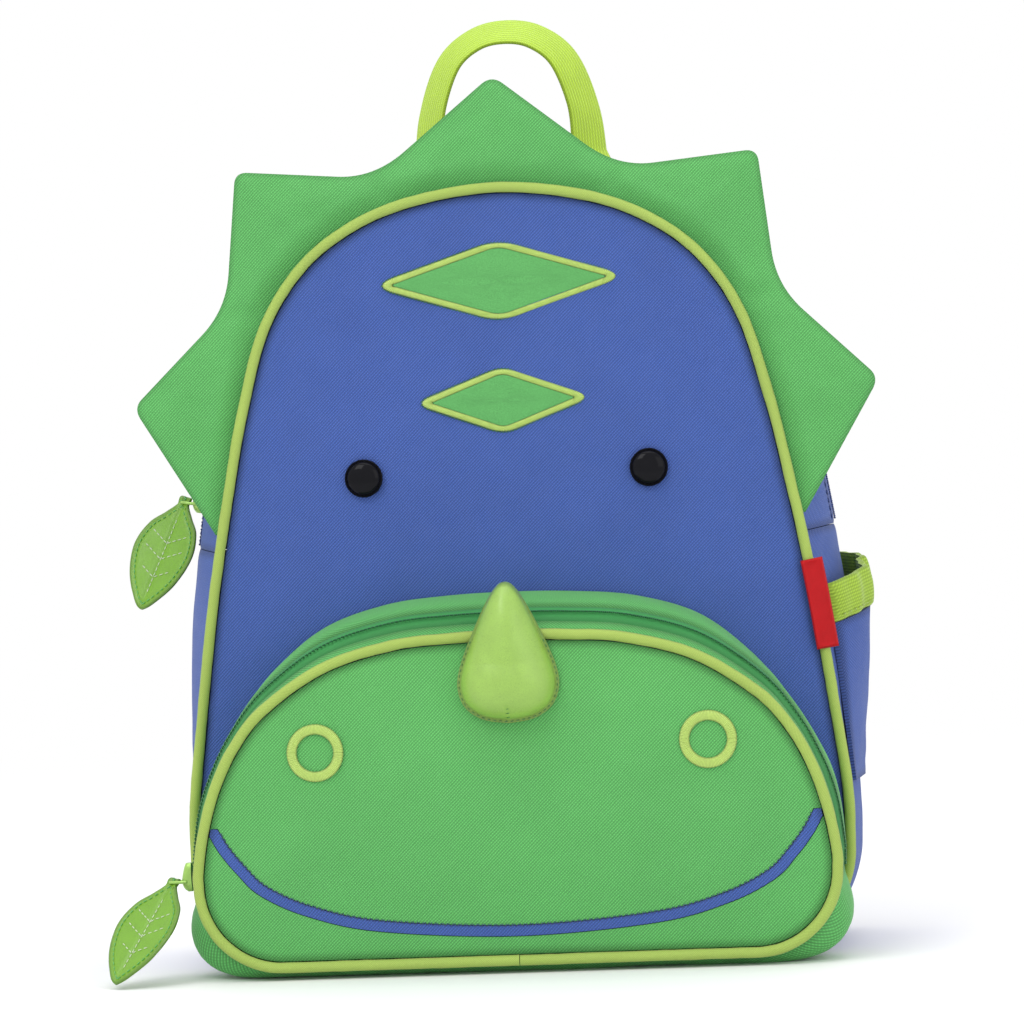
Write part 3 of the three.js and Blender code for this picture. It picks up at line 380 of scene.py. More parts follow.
BLUE_COIL = Moulded("blue_coil", Dye.THREAD_BLUE, gloss=0.4)
EYE_GLOSS = Moulded("eye_gloss", Dye.BLACK, gloss=0.1, coat=0.06, specular=0.07)
LOCK_PLASTIC = Moulded("lock_plastic", Dye.LOCK, gloss=0.42)
SLIDER_PAINT = Moulded("slider_paint", Dye.SLIDER, gloss=0.32, metal=0.3)


def build(name: str, places: Array, faces: list, cloth: Array | None = None) -> bpy.types.Object:
    """Make a piece from points in millimetres and ride it on the bag.

    Args:
        name: Name of the piece.
        places: Points, three numbers each.
        faces: Faces as lists of point numbers.
        cloth: For each point, two coordinates along the cloth and the distance from its nearest seam, near
            which the finishes paint shade.

    Returns:
        The new object, smooth except at sharp edges.
    """
    places = places.reshape(-1, 3)
    if cloth is None:
        cloth = np.column_stack([places[:, 0], places[:, 2], np.full(len(places), FAR_FROM_SEAM)])
    mesh = bpy.data.meshes.new(name)
    mesh.from_pydata((places * MM).tolist(), [], faces)
    stored = mesh.attributes.new("cloth", "FLOAT_VECTOR", "POINT")
    stored.data.foreach_set("vector", cloth.astype(np.float32).ravel())
    work = bmesh.new()
    work.from_mesh(mesh)
    bmesh.ops.remove_doubles(work, verts=work.verts, dist=1e-6)
    bmesh.ops.recalc_face_normals(work, faces=work.faces)
    work.to_mesh(mesh)
    work.free()
    mesh.shade_smooth()
    mesh.set_sharp_from_angle(angle=math.radians(55))
    piece = bpy.data.objects.new(name, mesh)
    bpy.context.collection.objects.link(piece)
    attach(piece, "root")
    return piece


def grid_faces(numbers: Array) -> Array:
    """Four-cornered faces between the rows of a grid of point numbers."""
    corners = (numbers[:-1, :-1], numbers[:-1, 1:], numbers[1:, 1:], numbers[1:, :-1])
    return np.stack(corners, axis=-1).reshape(-1, 4)


def shell(
    name: str, front: Array, back: Array, cloth: Array, round_way: bool = False, middle: bool = False
) -> bpy.types.Object:
    """Closed cloth between two grids of points.

    Args:
        name: Name of the piece.
        front: Outer grid, rows by columns by three.
        back: Inner grid of the same shape.
        cloth: Cloth coordinates of the grid's points.
        round_way: Whether the last column joins the first.
        middle: Whether the first row is a single place.

    Returns:
        The new object.
    """
    rows, columns = front.shape[:2]
    numbers = np.arange(rows * columns).reshape(rows, columns)
    if round_way:
        numbers = np.hstack([numbers, numbers[:, :1]])
    count = rows * columns
    rims = [numbers[-1]] if middle else [numbers[0], numbers[-1]]
    if not round_way:
        rims += [numbers[:, 0], numbers[:, -1]]
    faces = [grid_faces(numbers), grid_faces(numbers)[:, ::-1] + count]
    faces += [np.column_stack([rim[:-1], rim[1:], rim[1:] + count, rim[:-1] + count]) for rim in rims]
    layers = np.concatenate([front.reshape(-1, 3), back.reshape(-1, 3)])
    coords = np.broadcast_to(cloth, front.shape).reshape(-1, 3)
    return build(name, layers, np.vstack(faces).tolist(), np.concatenate([coords, coords]))


def tube(name: str, rings: Array, cloth: Array, ends: bool = True) -> bpy.types.Object:
    """Closed skin through a row of rings.

    Args:
        name: Name of the piece.
        rings: Rings by points by three.
        cloth: Cloth coordinates of the same points.
        ends: Whether the two ends are closed. Otherwise the last ring joins the first.

    Returns:
        The new object.
    """
    steps, sides = rings.shape[:2]
    numbers = np.arange(steps * sides).reshape(steps, sides)
    round_numbers = np.hstack([numbers, numbers[:, :1]])
    if not ends:
        round_numbers = np.vstack([round_numbers, round_numbers[:1]])
    faces = grid_faces(round_numbers).tolist()
    if ends:
        faces += [numbers[0][::-1].tolist(), numbers[-1].tolist()]
    return build(name, rings, faces, cloth.reshape(-1, 3))


def stitches(
    name: str, places: Array, along: Array, upward: Array, size: tuple[float, float, float]
) -> bpy.types.Object:
    """Many short rounded stitches as one piece.

    Args:
        name: Name of the piece.
        places: Middles of the stitches.
        along: Direction of each stitch.
        upward: Direction away from the cloth at each stitch.
        size: Length, width and height of a stitch.

    Returns:
        The new object.
    """
    along = along / np.linalg.norm(along, axis=-1, keepdims=True)
    across = np.cross(upward, along)
    across /= np.linalg.norm(across, axis=-1, keepdims=True)
    upward = np.cross(along, across)
    turns = np.arange(6) / 6 * 2 * math.pi
    stations = [(-1, 0.05), (-0.75, 0.72), (0, 1), (0.75, 0.72), (1, 0.05)]
    local = np.array([(t, r * math.cos(a), r * math.sin(a)) for t, r in stations for a in turns]) * size / 2
    basis = np.stack([along, across, upward], axis=1)
    points = places[:, None, :] + np.einsum("pk,nkc->npc", local, basis)
    one = np.arange(len(local)).reshape(len(stations), 6)
    one = np.hstack([one, one[:, :1]])
    sides = grid_faces(one)
    starts = np.arange(len(places)) * len(local)
    faces = (sides[None] + starts[:, None, None]).reshape(-1, 4).tolist()
    for cap in (one[0, :6], one[-1, :6]):
        faces += (cap[None] + starts[:, None]).tolist()
    cloth = np.broadcast_to(
        np.append(local[:, :2], np.full((len(local), 1), FAR_FROM_SEAM), axis=1), points.shape
    )
    return build(name, points, faces, cloth.reshape(-1, 3))


def catmull(points: Array, count: int = 40) -> Array:
    """Smooth line through some points, with its ends held."""
    held = np.vstack([points[:1], points, points[-1:]])
    t = np.linspace(0, 1, count, endpoint=False)[:, None]
    parts = []
    for a, b, c, d in zip(held[:-3], held[1:-2], held[2:-1], held[3:], strict=True):
        start, end = (c - a) / 2, (d - b) / 2
        cubic, square = 2 * b - 2 * c + start + end, 3 * c - 3 * b - 2 * start - end
        parts.append(cubic * t**3 + square * t**2 + start * t + b)
    return np.vstack([*parts, points[-1:]])


def crinkle(places: Array, size: float, seed: float) -> Array:
    """Smooth noise from -1 to 1 at each place, with features of a size."""
    flat = (places.reshape(-1, 3) / size).tolist()
    values = [noise.noise(Vector((x + seed, y - seed, z + seed))) for x, y, z in flat]
    return np.array(values).reshape(places.shape[:-1])


def smoothstep(value: Array, low: float, high: float) -> Array:
    """Smooth rise from 0 at low to 1 at high."""
    t = np.clip((value - low) / (high - low), 0, 1)
    return t * t * (3 - 2 * t)


def distance_to(places: Array, line: Array) -> Array:
    """Distance of each place from a line.

    Args:
        places: Places in x and z.
        line: Points of the line in order.

    Returns:
        The distances, one for each place.
    """
    nearest = np.full(places.shape[:-1], np.inf)
    for start, end in zip(line[:-1], line[1:], strict=True):
        way = end - start
        spot = np.clip((places - start) @ way / max(float(way @ way), 1e-9), 0, 1)
        nearest = np.minimum(nearest, np.linalg.norm(places - start - spot[..., None] * way, axis=-1))
    return nearest


class Line:
    """Line of points that is read by shares of its length."""

    def __init__(self, points: Array, closed: bool = False) -> None:
        """Measure the line.

        Args:
            points: Points in order.
            closed: Whether shares run on past the end.
        """
        steps = np.linalg.norm(np.diff(points, axis=0), axis=1)
        self.points = points[np.append(True, steps > 1e-7)]
        self.run = np.append(0, np.cumsum(steps[steps > 1e-7]))
        self.length = float(self.run[-1])
        self.closed = closed

    def at(self, share: Array) -> Array:
        """Points at shares of the length."""
        share = np.asarray(share, float)
        run = (share % 1 if self.closed else np.clip(share, 0, 1)) * self.length
        return np.stack([np.interp(run, self.run, column) for column in self.points.T], axis=-1)

    def along(self, share: Array) -> Array:
        """Unit directions along the line at shares of its length."""
        step = 0.6 / self.length
        ahead = self.at(np.asarray(share) + step) - self.at(np.asarray(share) - step)
        return ahead / np.linalg.norm(ahead, axis=-1, keepdims=True)

    def spaced(self, pitch: float) -> Array:
        """Shares of places that lie about a pitch apart, from half a pitch in."""
        count = max(1, round(self.length / pitch))
        return (np.arange(count) + 0.5) / count


class Outline(Line):
    """Panel outline with a flat bottom, in x and z. Shares run counterclockwise from the bottom middle."""

    def __init__(
        self, half_width: float, bottom: float, top: float, corner: float, rows: Sequence[tuple[float, float]]
    ) -> None:
        """Draw the outline.

        Args:
            half_width: Half of the greatest width.
            bottom: Height of the flat bottom.
            top: Height of the top.
            corner: Radius of the two lower corners.
            rows: Shares of the half width and of the height, from the widest row to the top.
        """
        turn = np.linspace(-math.pi / 2, 0, 40)
        arc = np.column_stack(
            [half_width - corner + corner * np.cos(turn), bottom + corner + corner * np.sin(turn)]
        )
        right = np.array([(reach * half_width, bottom + rise * (top - bottom)) for reach, rise in rows])
        left = right[-2::-1] * (-1, 1)
        side = catmull(np.vstack([arc[-1:], right, left, arc[-1:] * (-1, 1)]))
        super().__init__(
            np.vstack([[(0, bottom)], arc, side, arc[::-1] * (-1, 1), [(0, bottom)]]), closed=True
        )
        peak = int(np.argmax(self.points[:, 1]))
        self.right = self.points[: peak + 1]
        self.right_run = self.run[: peak + 1] / self.length
        self.bottom, self.top = bottom, top

    def outward(self, share: Array) -> Array:
        """Unit directions away from the panel."""
        along = self.along(share)
        return np.stack([along[..., 1], -along[..., 0]], axis=-1)

    def share_at(self, height: Array) -> Array:
        """Shares on the right half at some heights."""
        return np.interp(height, self.right[:, 1], self.right_run)

    def half_width_at(self, height: Array) -> Array:
        """Half widths at some heights."""
        return np.interp(height, self.right[:, 1], self.right[:, 0])

    def crowned(self, plane: float, crown: float) -> Surface:
        """Surface over the outline, flat at the edge and fullest in the middle."""

        def surface(x: Array, z: Array) -> Array:
            """Depth of the surface at x and z."""
            climb = np.clip((2 * z - self.bottom - self.top) / (self.top - self.bottom), -1, 1)
            across = np.clip(x / np.maximum(self.half_width_at(z), 1), -1, 1)
            return plane + crown * (1 - climb**2) * (1 - across**2)

        return surface


def at_depth(flat: Array, depth: Array | float) -> Array:
    """Points at places in x and z, each at its depth."""
    return np.stack([flat[..., 0], np.broadcast_to(depth, flat.shape[:-1]), flat[..., 1]], axis=-1)


def facing_viewer(places: Array) -> Array:
    """Direction towards the viewer for each place."""
    return np.broadcast_to((0.0, -1.0, 0.0), places.shape)


def stand(surface: Surface, flat: Array, lift: Array | float = 0.0) -> Array:
    """Points of a surface at places in x and z, moved towards the viewer by a lift."""
    return at_depth(flat, surface(flat[..., 0], flat[..., 1]) - lift)


def planar(flat: Array, seam: Array | float) -> Array:
    """Cloth coordinates of a piece cut flat in x and z."""
    seam = np.broadcast_to(np.clip(seam, 0, FAR_FROM_SEAM), flat.shape[:-1])
    return np.stack([flat[..., 0], flat[..., 1], seam], axis=-1)


@dataclass(frozen=True)
class BagShape:
    """Main sizes of the bag, with the skins that its pieces lie on."""

    half_width: float = 129.0
    top: float = 305.0
    depth: float = 90.0
    corner: float = 36.0
    rim: float = 5.0
    face_crown: float = 6.0
    back_crown: float = 3.0
    swell: float = 18.0
    piping: float = 2.1
    cloth: float = 1.6
    flat_edge: float = 0.22
    muzzle_depth: float = 38.0
    muzzle_half_width: float = 123.0
    muzzle_top: float = 130.0
    muzzle_corner: float = 32.0
    muzzle_back_top: float = 146.4
    muzzle_crown: float = 7.0
    muzzle_swell: float = 3.5
    muzzle_zip_place: float = 0.32
    seam_margin: float = 1.8
    face_rows: tuple = (
        (1, 0.19), (0.978, 0.275), (0.92, 0.459), (0.854, 0.617), (0.802, 0.721),
        (0.726, 0.828), (0.602, 0.907), (0.434, 0.959), (0.24, 0.988), (0, 1),
    )
    muzzle_front_rows: tuple = (
        (1, 0.3), (0.979, 0.424), (0.941, 0.55), (0.878, 0.675), (0.78, 0.792),
        (0.585, 0.918), (0.366, 0.98), (0.18, 0.996), (0, 1),
    )
    muzzle_back_rows: tuple = (
        (1, 0.34), (0.987, 0.454), (0.928, 0.571), (0.854, 0.681), (0.756, 0.798),
        (0.598, 0.915), (0.4, 0.975), (0.2, 0.995), (0, 1),
    )
    swell_rows: tuple = (
        (0, 0.3), (0.22, 0.32), (0.277, 0.47), (0.357, 0.62), (0.45, 0.75), (0.53, 0.78), (1, 1),
    )

    @property
    def front(self) -> float:
        """Depth of the middle of the face piping."""
        return -self.depth / 2

    @property
    def back(self) -> float:
        """Depth of the middle of the back piping."""
        return self.depth / 2

    @property
    def muzzle_plane(self) -> float:
        """Depth of the middle of the muzzle piping."""
        return self.front - self.muzzle_depth

    @property
    def inset(self) -> float:
        """Distance from the middle of a piping to the cloth beside it."""
        return self.piping + SEAM

    @property
    def gusset_width(self) -> float:
        """Width of the wall between the two pipings."""
        return self.depth - 2 * self.inset

    @cached_property
    def face(self) -> Outline:
        """Outline of the face and back panels."""
        return Outline(self.half_width, self.rim, self.top, self.corner, self.face_rows)

    @cached_property
    def muzzle(self) -> Outline:
        """Outline of the muzzle's front."""
        return Outline(
            self.muzzle_half_width, self.rim, self.muzzle_top, self.muzzle_corner, self.muzzle_front_rows
        )

    @cached_property
    def muzzle_seam(self) -> Outline:
        """Outline along which the muzzle is sewn to the face."""
        inset = self.inset + self.cloth + self.seam_margin
        half_width = self.half_width - inset
        return Outline(
            half_width, self.rim + inset, self.muzzle_back_top, self.corner - inset, self.muzzle_back_rows
        )

    @cached_property
    def face_surface(self) -> Surface:
        """Surface of the face panel."""
        return self.face.crowned(self.front, -self.face_crown)

    @cached_property
    def back_surface(self) -> Surface:
        """Surface of the back panel."""
        return self.face.crowned(self.back, self.back_crown)

    @cached_property
    def muzzle_surface(self) -> Surface:
        """Surface of the muzzle's front."""
        return self.muzzle.crowned(self.muzzle_plane, -self.muzzle_crown)

    def crown_across(self, across: Array, edge: Array) -> Array:
        """Crown of a wall across its width, flat in the middle where edge is under one half."""
        climb = np.minimum(1, np.minimum(across / edge, (1 - across) / edge))
        return np.sin(math.pi / 2 * climb)

    def gusset_swell(self, share: Array, across: Array) -> Array:
        """Swell of the body's wall beyond the piping line."""
        rise = (self.face.at(share)[..., 1] - self.rim) / (self.top - self.rim)
        rows = np.array(self.swell_rows)
        side = self.swell * np.interp(rise, rows[:, 0], rows[:, 1])
        down = smoothstep(-self.face.outward(share)[..., 1], 0.2, 1)
        edge = 0.5 + (self.flat_edge - 0.5) * down
        return (side + (self.rim - side) * down) * self.crown_across(across, edge)

    def gusset_skin(self, share: Array, across: Array, lift: Array | float) -> Array:
        """Points of the body's wall at a lift from its outside."""
        swell = self.gusset_swell(share, across) + lift
        flat = self.face.at(share) + self.face.outward(share) * swell[..., None]
        depth = self.front + self.inset + self.gusset_width * across
        return at_depth(flat, depth)

    def muzzle_skin(self, share: Array, across: Array, lift: Array | float) -> Array:
        """Points of the muzzle's wall at a lift from its outside."""
        back = self.muzzle_seam.at(share)
        outward = self.muzzle.outward(share)
        line = self.muzzle.at(share) + (back - self.muzzle.at(share)) * across[..., None]
        down = smoothstep(-outward[..., 1], 0.2, 1)
        edge = 0.5 + (self.flat_edge - 0.5) * down
        swell = (
            self.muzzle_swell + (line[..., 1] - self.muzzle_swell) * down
        ) * self.crown_across(across, edge) + lift
        flat = line + outward * swell[..., None]
        start = self.muzzle_plane + self.inset
        end = self.face_surface(back[..., 0], back[..., 1]) - SEAM
        return at_depth(flat, start + (end - start) * across)


SHAPE = BagShape()
Skin = Callable[[Array, Array, Array], Array]


@dataclass
class SubAssembly:
    """Pieces that belong together, with the helpers that dress them."""

    pieces: list[bpy.types.Object] = field(default_factory=list, init=False)

    def keep(self, piece: bpy.types.Object, finish: Finish, slot: str, *nodes: str) -> bpy.types.Object:
        """Dress a piece and hide the model's parts that it stands for.

        Args:
            piece: The piece.
            finish: Its finish.
            slot: Name of a material slot, not used.
            *nodes: Nodes of the model that it replaces.

        Returns:
            The same piece.
        """
        piece.data.materials.clear()
        piece.data.materials.append(finish.material())
        if nodes:
            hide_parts(*nodes)
        self.pieces.append(piece)
        return piece

    def report(self) -> None:
        """Log each piece with its number of faces."""
        for piece in self.pieces:
            LOG.info("%s: %s, %d faces", type(self).__name__, piece.name, len(piece.data.polygons))

    @staticmethod
    def panel(
        name: str, outline: Outline, surface: Surface, back: float, side: int, seed: float
    ) -> bpy.types.Object:
        """Panel inside an outline, soft, with puckers along its seam.

        Args:
            name: Name of the piece.
            outline: Outline along the middle of the piping.
            surface: Surface that the panel follows.
            back: Distance from the surface to the panel's inner face.
            side: -1 if the panel looks to the front, 1 if it looks to the back.
            seed: Place in the noise.

        Returns:
            The new object.
        """
        share = np.arange(380) / 380
        edge = outline.at(share) - outline.outward(share) * SHAPE.inset
        middle = np.array([0.0, (outline.top + outline.bottom) / 2])
        ring = np.sin(np.linspace(0, math.pi / 2, 44))[:, None, None]
        flat = middle + (edge - middle) * ring
        seam = (1 - ring[..., 0]) * np.linalg.norm(edge - middle, axis=-1)
        base = stand(surface, flat)
        soft = 0.9 * crinkle(base, 70, seed) + 0.35 * crinkle(base, 18, seed + 5)
        puckers = 0.5 * crinkle(np.stack([share * outline.length, 0 * share, 0 * share], axis=-1), 7, seed)
        relief = soft * smoothstep(seam, 0, 25) + puckers * np.exp(-seam / 6) - 0.8 * np.exp(-seam / 2.5)
        front = base.copy()
        front[..., 1] += side * relief
        inner = base.copy()
        inner[..., 1] -= side * back
        return shell(name, front, inner, planar(flat, seam), round_way=True, middle=True)

    @staticmethod
    def wall(
        name: str, skin: Skin, run: float, shares: Array, across: Array, width: float, seed: float
    ) -> bpy.types.Object:
        """Band of cloth along a wall.

        Args:
            name: Name of the piece.
            skin: Points of the wall from share, place across and lift.
            run: Length of the outline.
            shares: Shares of the outline along the band.
            across: Places across the wall, from 0 to 1.
            width: Width of the whole wall.
            seed: Place in the noise.

        Returns:
            The new object.
        """
        share, spot = np.meshgrid(shares, across, indexing="ij")
        base = skin(share, spot, 0 * share)
        ends = np.minimum(share - shares[0], shares[-1] - share) * run
        sides = np.minimum(spot - across[0], across[-1] - spot) * width
        seam = np.minimum(ends, sides)
        soft = 0.8 * crinkle(base, 42, seed) + 0.3 * crinkle(base, 13, seed + 3)
        lift = soft * smoothstep(seam, 0, 9) - 0.5 * np.exp(-seam / 1.6)
        cloth = np.stack([share * run, spot * width, np.clip(seam, 0, FAR_FROM_SEAM)], axis=-1)
        return shell(name, skin(share, spot, lift), skin(share, spot, 0 * share - SHAPE.cloth), cloth)

    @staticmethod
    def piping(name: str, outline: Outline, plane: float) -> bpy.types.Object:
        """Cloth-covered piping around an outline, its ends butted at the bottom middle.

        Args:
            name: Name of the piece.
            outline: Outline along the middle of the piping.
            plane: Depth of that middle.

        Returns:
            The new object.
        """
        butt = SEAM / 2 / outline.length
        share = np.linspace(butt, 1 - butt, 700)[:, None]
        angle = (np.arange(14) / 14 * 2 * math.pi)[None]
        run = share * outline.length
        wave = np.stack([run + 0 * angle, 0 * run + 2 * np.cos(angle), 0 * run + 2 * np.sin(angle)], axis=-1)
        radius = SHAPE.piping * (1 + 0.06 * crinkle(wave, 5, 3.0) + 0.05 * crinkle(wave, 23, 8.0))
        out = radius * np.cos(angle)
        flat = outline.at(share) + outline.outward(share) * out[..., None]
        rings = at_depth(flat, plane + radius * np.sin(angle))
        # Painted shade: the side of the cord that turns towards +Y gets a small seam distance, so its finish
        # darkens it.
        seam = np.broadcast_to(2.5 + 2.2 * np.sin(-angle), radius.shape)
        cloth = np.stack([run + 0 * angle, SHAPE.piping * angle + 0 * run, seam], axis=-1)
        return tube(name, rings, cloth)

    @staticmethod
    def coil(
        name: str, skin: Skin, outline: Outline, shares: tuple[float, float], spot: float, lift: float,
    ) -> bpy.types.Object:
        """Coil teeth of a zip, in two interlocked rows.

        Args:
            name: Name of the piece.
            skin: Points of the wall that the zip lies on.
            outline: Outline along which it runs.
            shares: First and last share.
            spot: Place of its middle across the wall.
            lift: Height of the teeth's middles above the wall.

        Returns:
            The new object.
        """
        count = int((shares[1] - shares[0]) * outline.length / 1.5)
        share = np.linspace(*shares, count)
        middle = skin(share, 0 * share + spot, 0 * share + lift)
        upward = skin(share, 0 * share + spot, 0 * share + lift + 1) - middle
        ahead = np.gradient(middle, axis=0)
        across = np.cross(ahead, upward)
        across /= np.linalg.norm(across, axis=-1, keepdims=True)
        places = np.concatenate([middle + 1.15 * across, middle - 1.15 * across + ahead / 2])
        return stitches(
            name, places, np.concatenate([across, across]), np.concatenate([upward, upward]), (2.6, 1.0, 0.9)
        )

    @staticmethod
    def satin(
        name: str, outer: Array, inner: Array, surface: Surface, height: float, thread: float = 0.55
    ) -> bpy.types.Object:
        """Ring of satin stitch on a surface.

        Args:
            name: Name of the piece.
            outer: Points of the ring's outer edge, in x and z.
            inner: Points of its inner edge, each facing one of the outer ones.
            surface: Surface that it lies on.
            height: Height of its threads.
            thread: Distance from one thread to the next.

        Returns:
            The new object.
        """
        middle = Line(np.vstack([outer, outer[:1]]) / 2 + np.vstack([inner, inner[:1]]) / 2, closed=True)
        count = 4 * round(middle.length / thread)
        place = np.interp(np.arange(count) / count * middle.length, middle.run, np.arange(len(middle.run)))
        corners = np.arange(len(outer) + 1)
        edges = [
            np.stack([np.interp(place, corners, np.append(axis, axis[0])) for axis in loop.T], axis=-1)
            for loop in (outer, inner)
        ]
        spot = np.linspace(-1, 1, 11)[None]
        share = (np.arange(count) / count)[:, None]
        ripple = np.abs(np.sin(math.pi * share * middle.length / thread))
        reach = (0.5 + spot / 2 * (0.95 + 0.05 * ripple))[..., None]
        flat = edges[1][:, None] * (1 - reach) + edges[0][:, None] * reach
        lift = SEAM + height * np.sqrt(1 - 0.96 * spot**2) * (0.8 + 0.2 * ripple)
        top = stand(surface, flat, lift)
        under = stand(surface, flat, SEAM * 0.5)
        rings = np.concatenate([top, under[:, ::-1]], axis=1)
        width = np.linalg.norm(edges[0] - edges[1], axis=-1)[:, None]
        edge = (1 - np.abs(spot)) * width / 2
        cloth = np.stack([share * middle.length + 0 * spot, spot * width / 2, edge], axis=-1)
        return tube(name, rings, np.concatenate([cloth, cloth[:, ::-1]], axis=1), ends=False)

    @staticmethod
    def flat_patch(
        name: str, loop: Line, middle: tuple[float, float], surface: Surface, lift: float
    ) -> bpy.types.Object:
        """Thin patch inside a loop on a surface.

        Args:
            name: Name of the piece.
            loop: Closed line around the patch, in x and z.
            middle: A place inside it.
            surface: Surface that it lies on.
            lift: Height of its outer face.

        Returns:
            The new object.
        """
        edge = loop.at(np.arange(200) / 200)
        centre = np.array(middle)
        ring = np.linspace(0, 1, 18)[:, None, None]
        flat = centre + (edge - centre) * ring
        seam = (1 - ring[..., 0]) * np.linalg.norm(edge - centre, axis=-1)
        front = stand(surface, flat, lift + 0.15 * crinkle(planar(flat, 0.0), 4, 2.0) - 0.2 * np.exp(-seam))
        return shell(
            name, front, stand(surface, flat, SEAM * 0.4), planar(flat, seam + 1.0), round_way=True,
            middle=True
        )


@dataclass
class BagBody(SubAssembly):
    """Face and back panels, the wall between them, its zip and the two pipings."""

    panel_thickness: float = 2.0
    back_padding: float = 5.0
    seam_height: float = 165.0
    slider_height: float = 184.0
    zip_width: float = 16.0
    teeth_height: float = 0.9

    def build(self) -> None:
        """Make and dress the body's pieces."""
        outline, width = SHAPE.face, SHAPE.gusset_width
        face = self.panel("face_cloth", outline, SHAPE.face_surface, self.panel_thickness, -1, 11.0)
        self.keep(face, BLUE_CLOTH, "blue_fabric", "face_panel")
        back = self.panel("back_cloth", outline, SHAPE.back_surface, self.back_padding, 1, 31.0)
        self.keep(back, BLUE_CLOTH, "blue_fabric", "back_panel")
        self.keep(self.piping("face_cord", outline, SHAPE.front), PIPING_CLOTH, "lime_piping", "face_piping")
        self.keep(
            self.piping("back_cord", outline, SHAPE.back), BLUE_PIPING_CLOTH, "blue_fabric", "back_piping"
        )

        seam = float(outline.share_at(self.seam_height))
        butt = SEAM / 2 / outline.length
        tape = self.zip_width / width
        edge = 0.5 - tape / 2 - SEAM / width
        arch = np.linspace(seam + butt, 1 - seam - butt, 420)
        front = self.wall(
            "front_wall", SHAPE.gusset_skin, outline.length, arch, np.linspace(0, edge, 18), width, 3.0
        )
        self.keep(front, BLUE_CLOTH, "blue_fabric", "gusset_front")
        rear = self.wall(
            "back_wall", SHAPE.gusset_skin, outline.length, arch, np.linspace(1 - edge, 1, 18), width, 9.0
        )
        self.keep(rear, BLUE_CLOTH, "blue_fabric", "gusset_back")
        strip = np.linspace(0.5 - tape / 2, 0.5 + tape / 2, 12)
        zip_tape = self.wall("zip_tape", SHAPE.gusset_skin, outline.length, arch, strip, width, 5.0)
        self.keep(zip_tape, ZIP_TAPE_BLUE, "blue_zip", "main_zip")
        teeth = self.coil(
            "zip_coil", SHAPE.gusset_skin, outline, (arch[2], arch[-3]), 0.5, self.teeth_height * 0.4
        )
        self.keep(teeth, BLUE_COIL, "blue_zip")
        lower = np.linspace(butt - seam, seam - butt, 360)
        bottom = self.wall(
            "lower_wall", SHAPE.gusset_skin, outline.length, lower, np.linspace(0, 1, 40), width, 15.0
        )
        self.keep(bottom, BLUE_CLOTH, "blue_fabric", "gusset_bottom")
        self.topstitch(outline, edge, arch)

    def topstitch(self, outline: Outline, edge: float, arch: Array) -> None:
        """Stitches in the cloth on both sides of the zip.

        Args:
            outline: Outline along which the zip runs.
            edge: Place across the wall where the cloth ends beside the zip.
            arch: Shares along the zip.
        """
        inset = 2.2 / SHAPE.gusset_width
        count = int((arch[-1] - arch[0]) * outline.length / 3.2)
        share = np.linspace(arch[3], arch[-4], count)
        for name, spot in (("front_topstitch", edge - inset), ("back_topstitch", 1 - edge + inset)):
            place = SHAPE.gusset_skin(share, 0 * share + spot, 0 * share + 0.1)
            upward = SHAPE.gusset_skin(share, 0 * share + spot, 0 * share + 1.1) - place
            row = stitches(name, place, np.gradient(place, axis=0), upward, (2.3, 0.55, 0.6))
            self.keep(row, BLUE_THREAD, "blue_fabric")


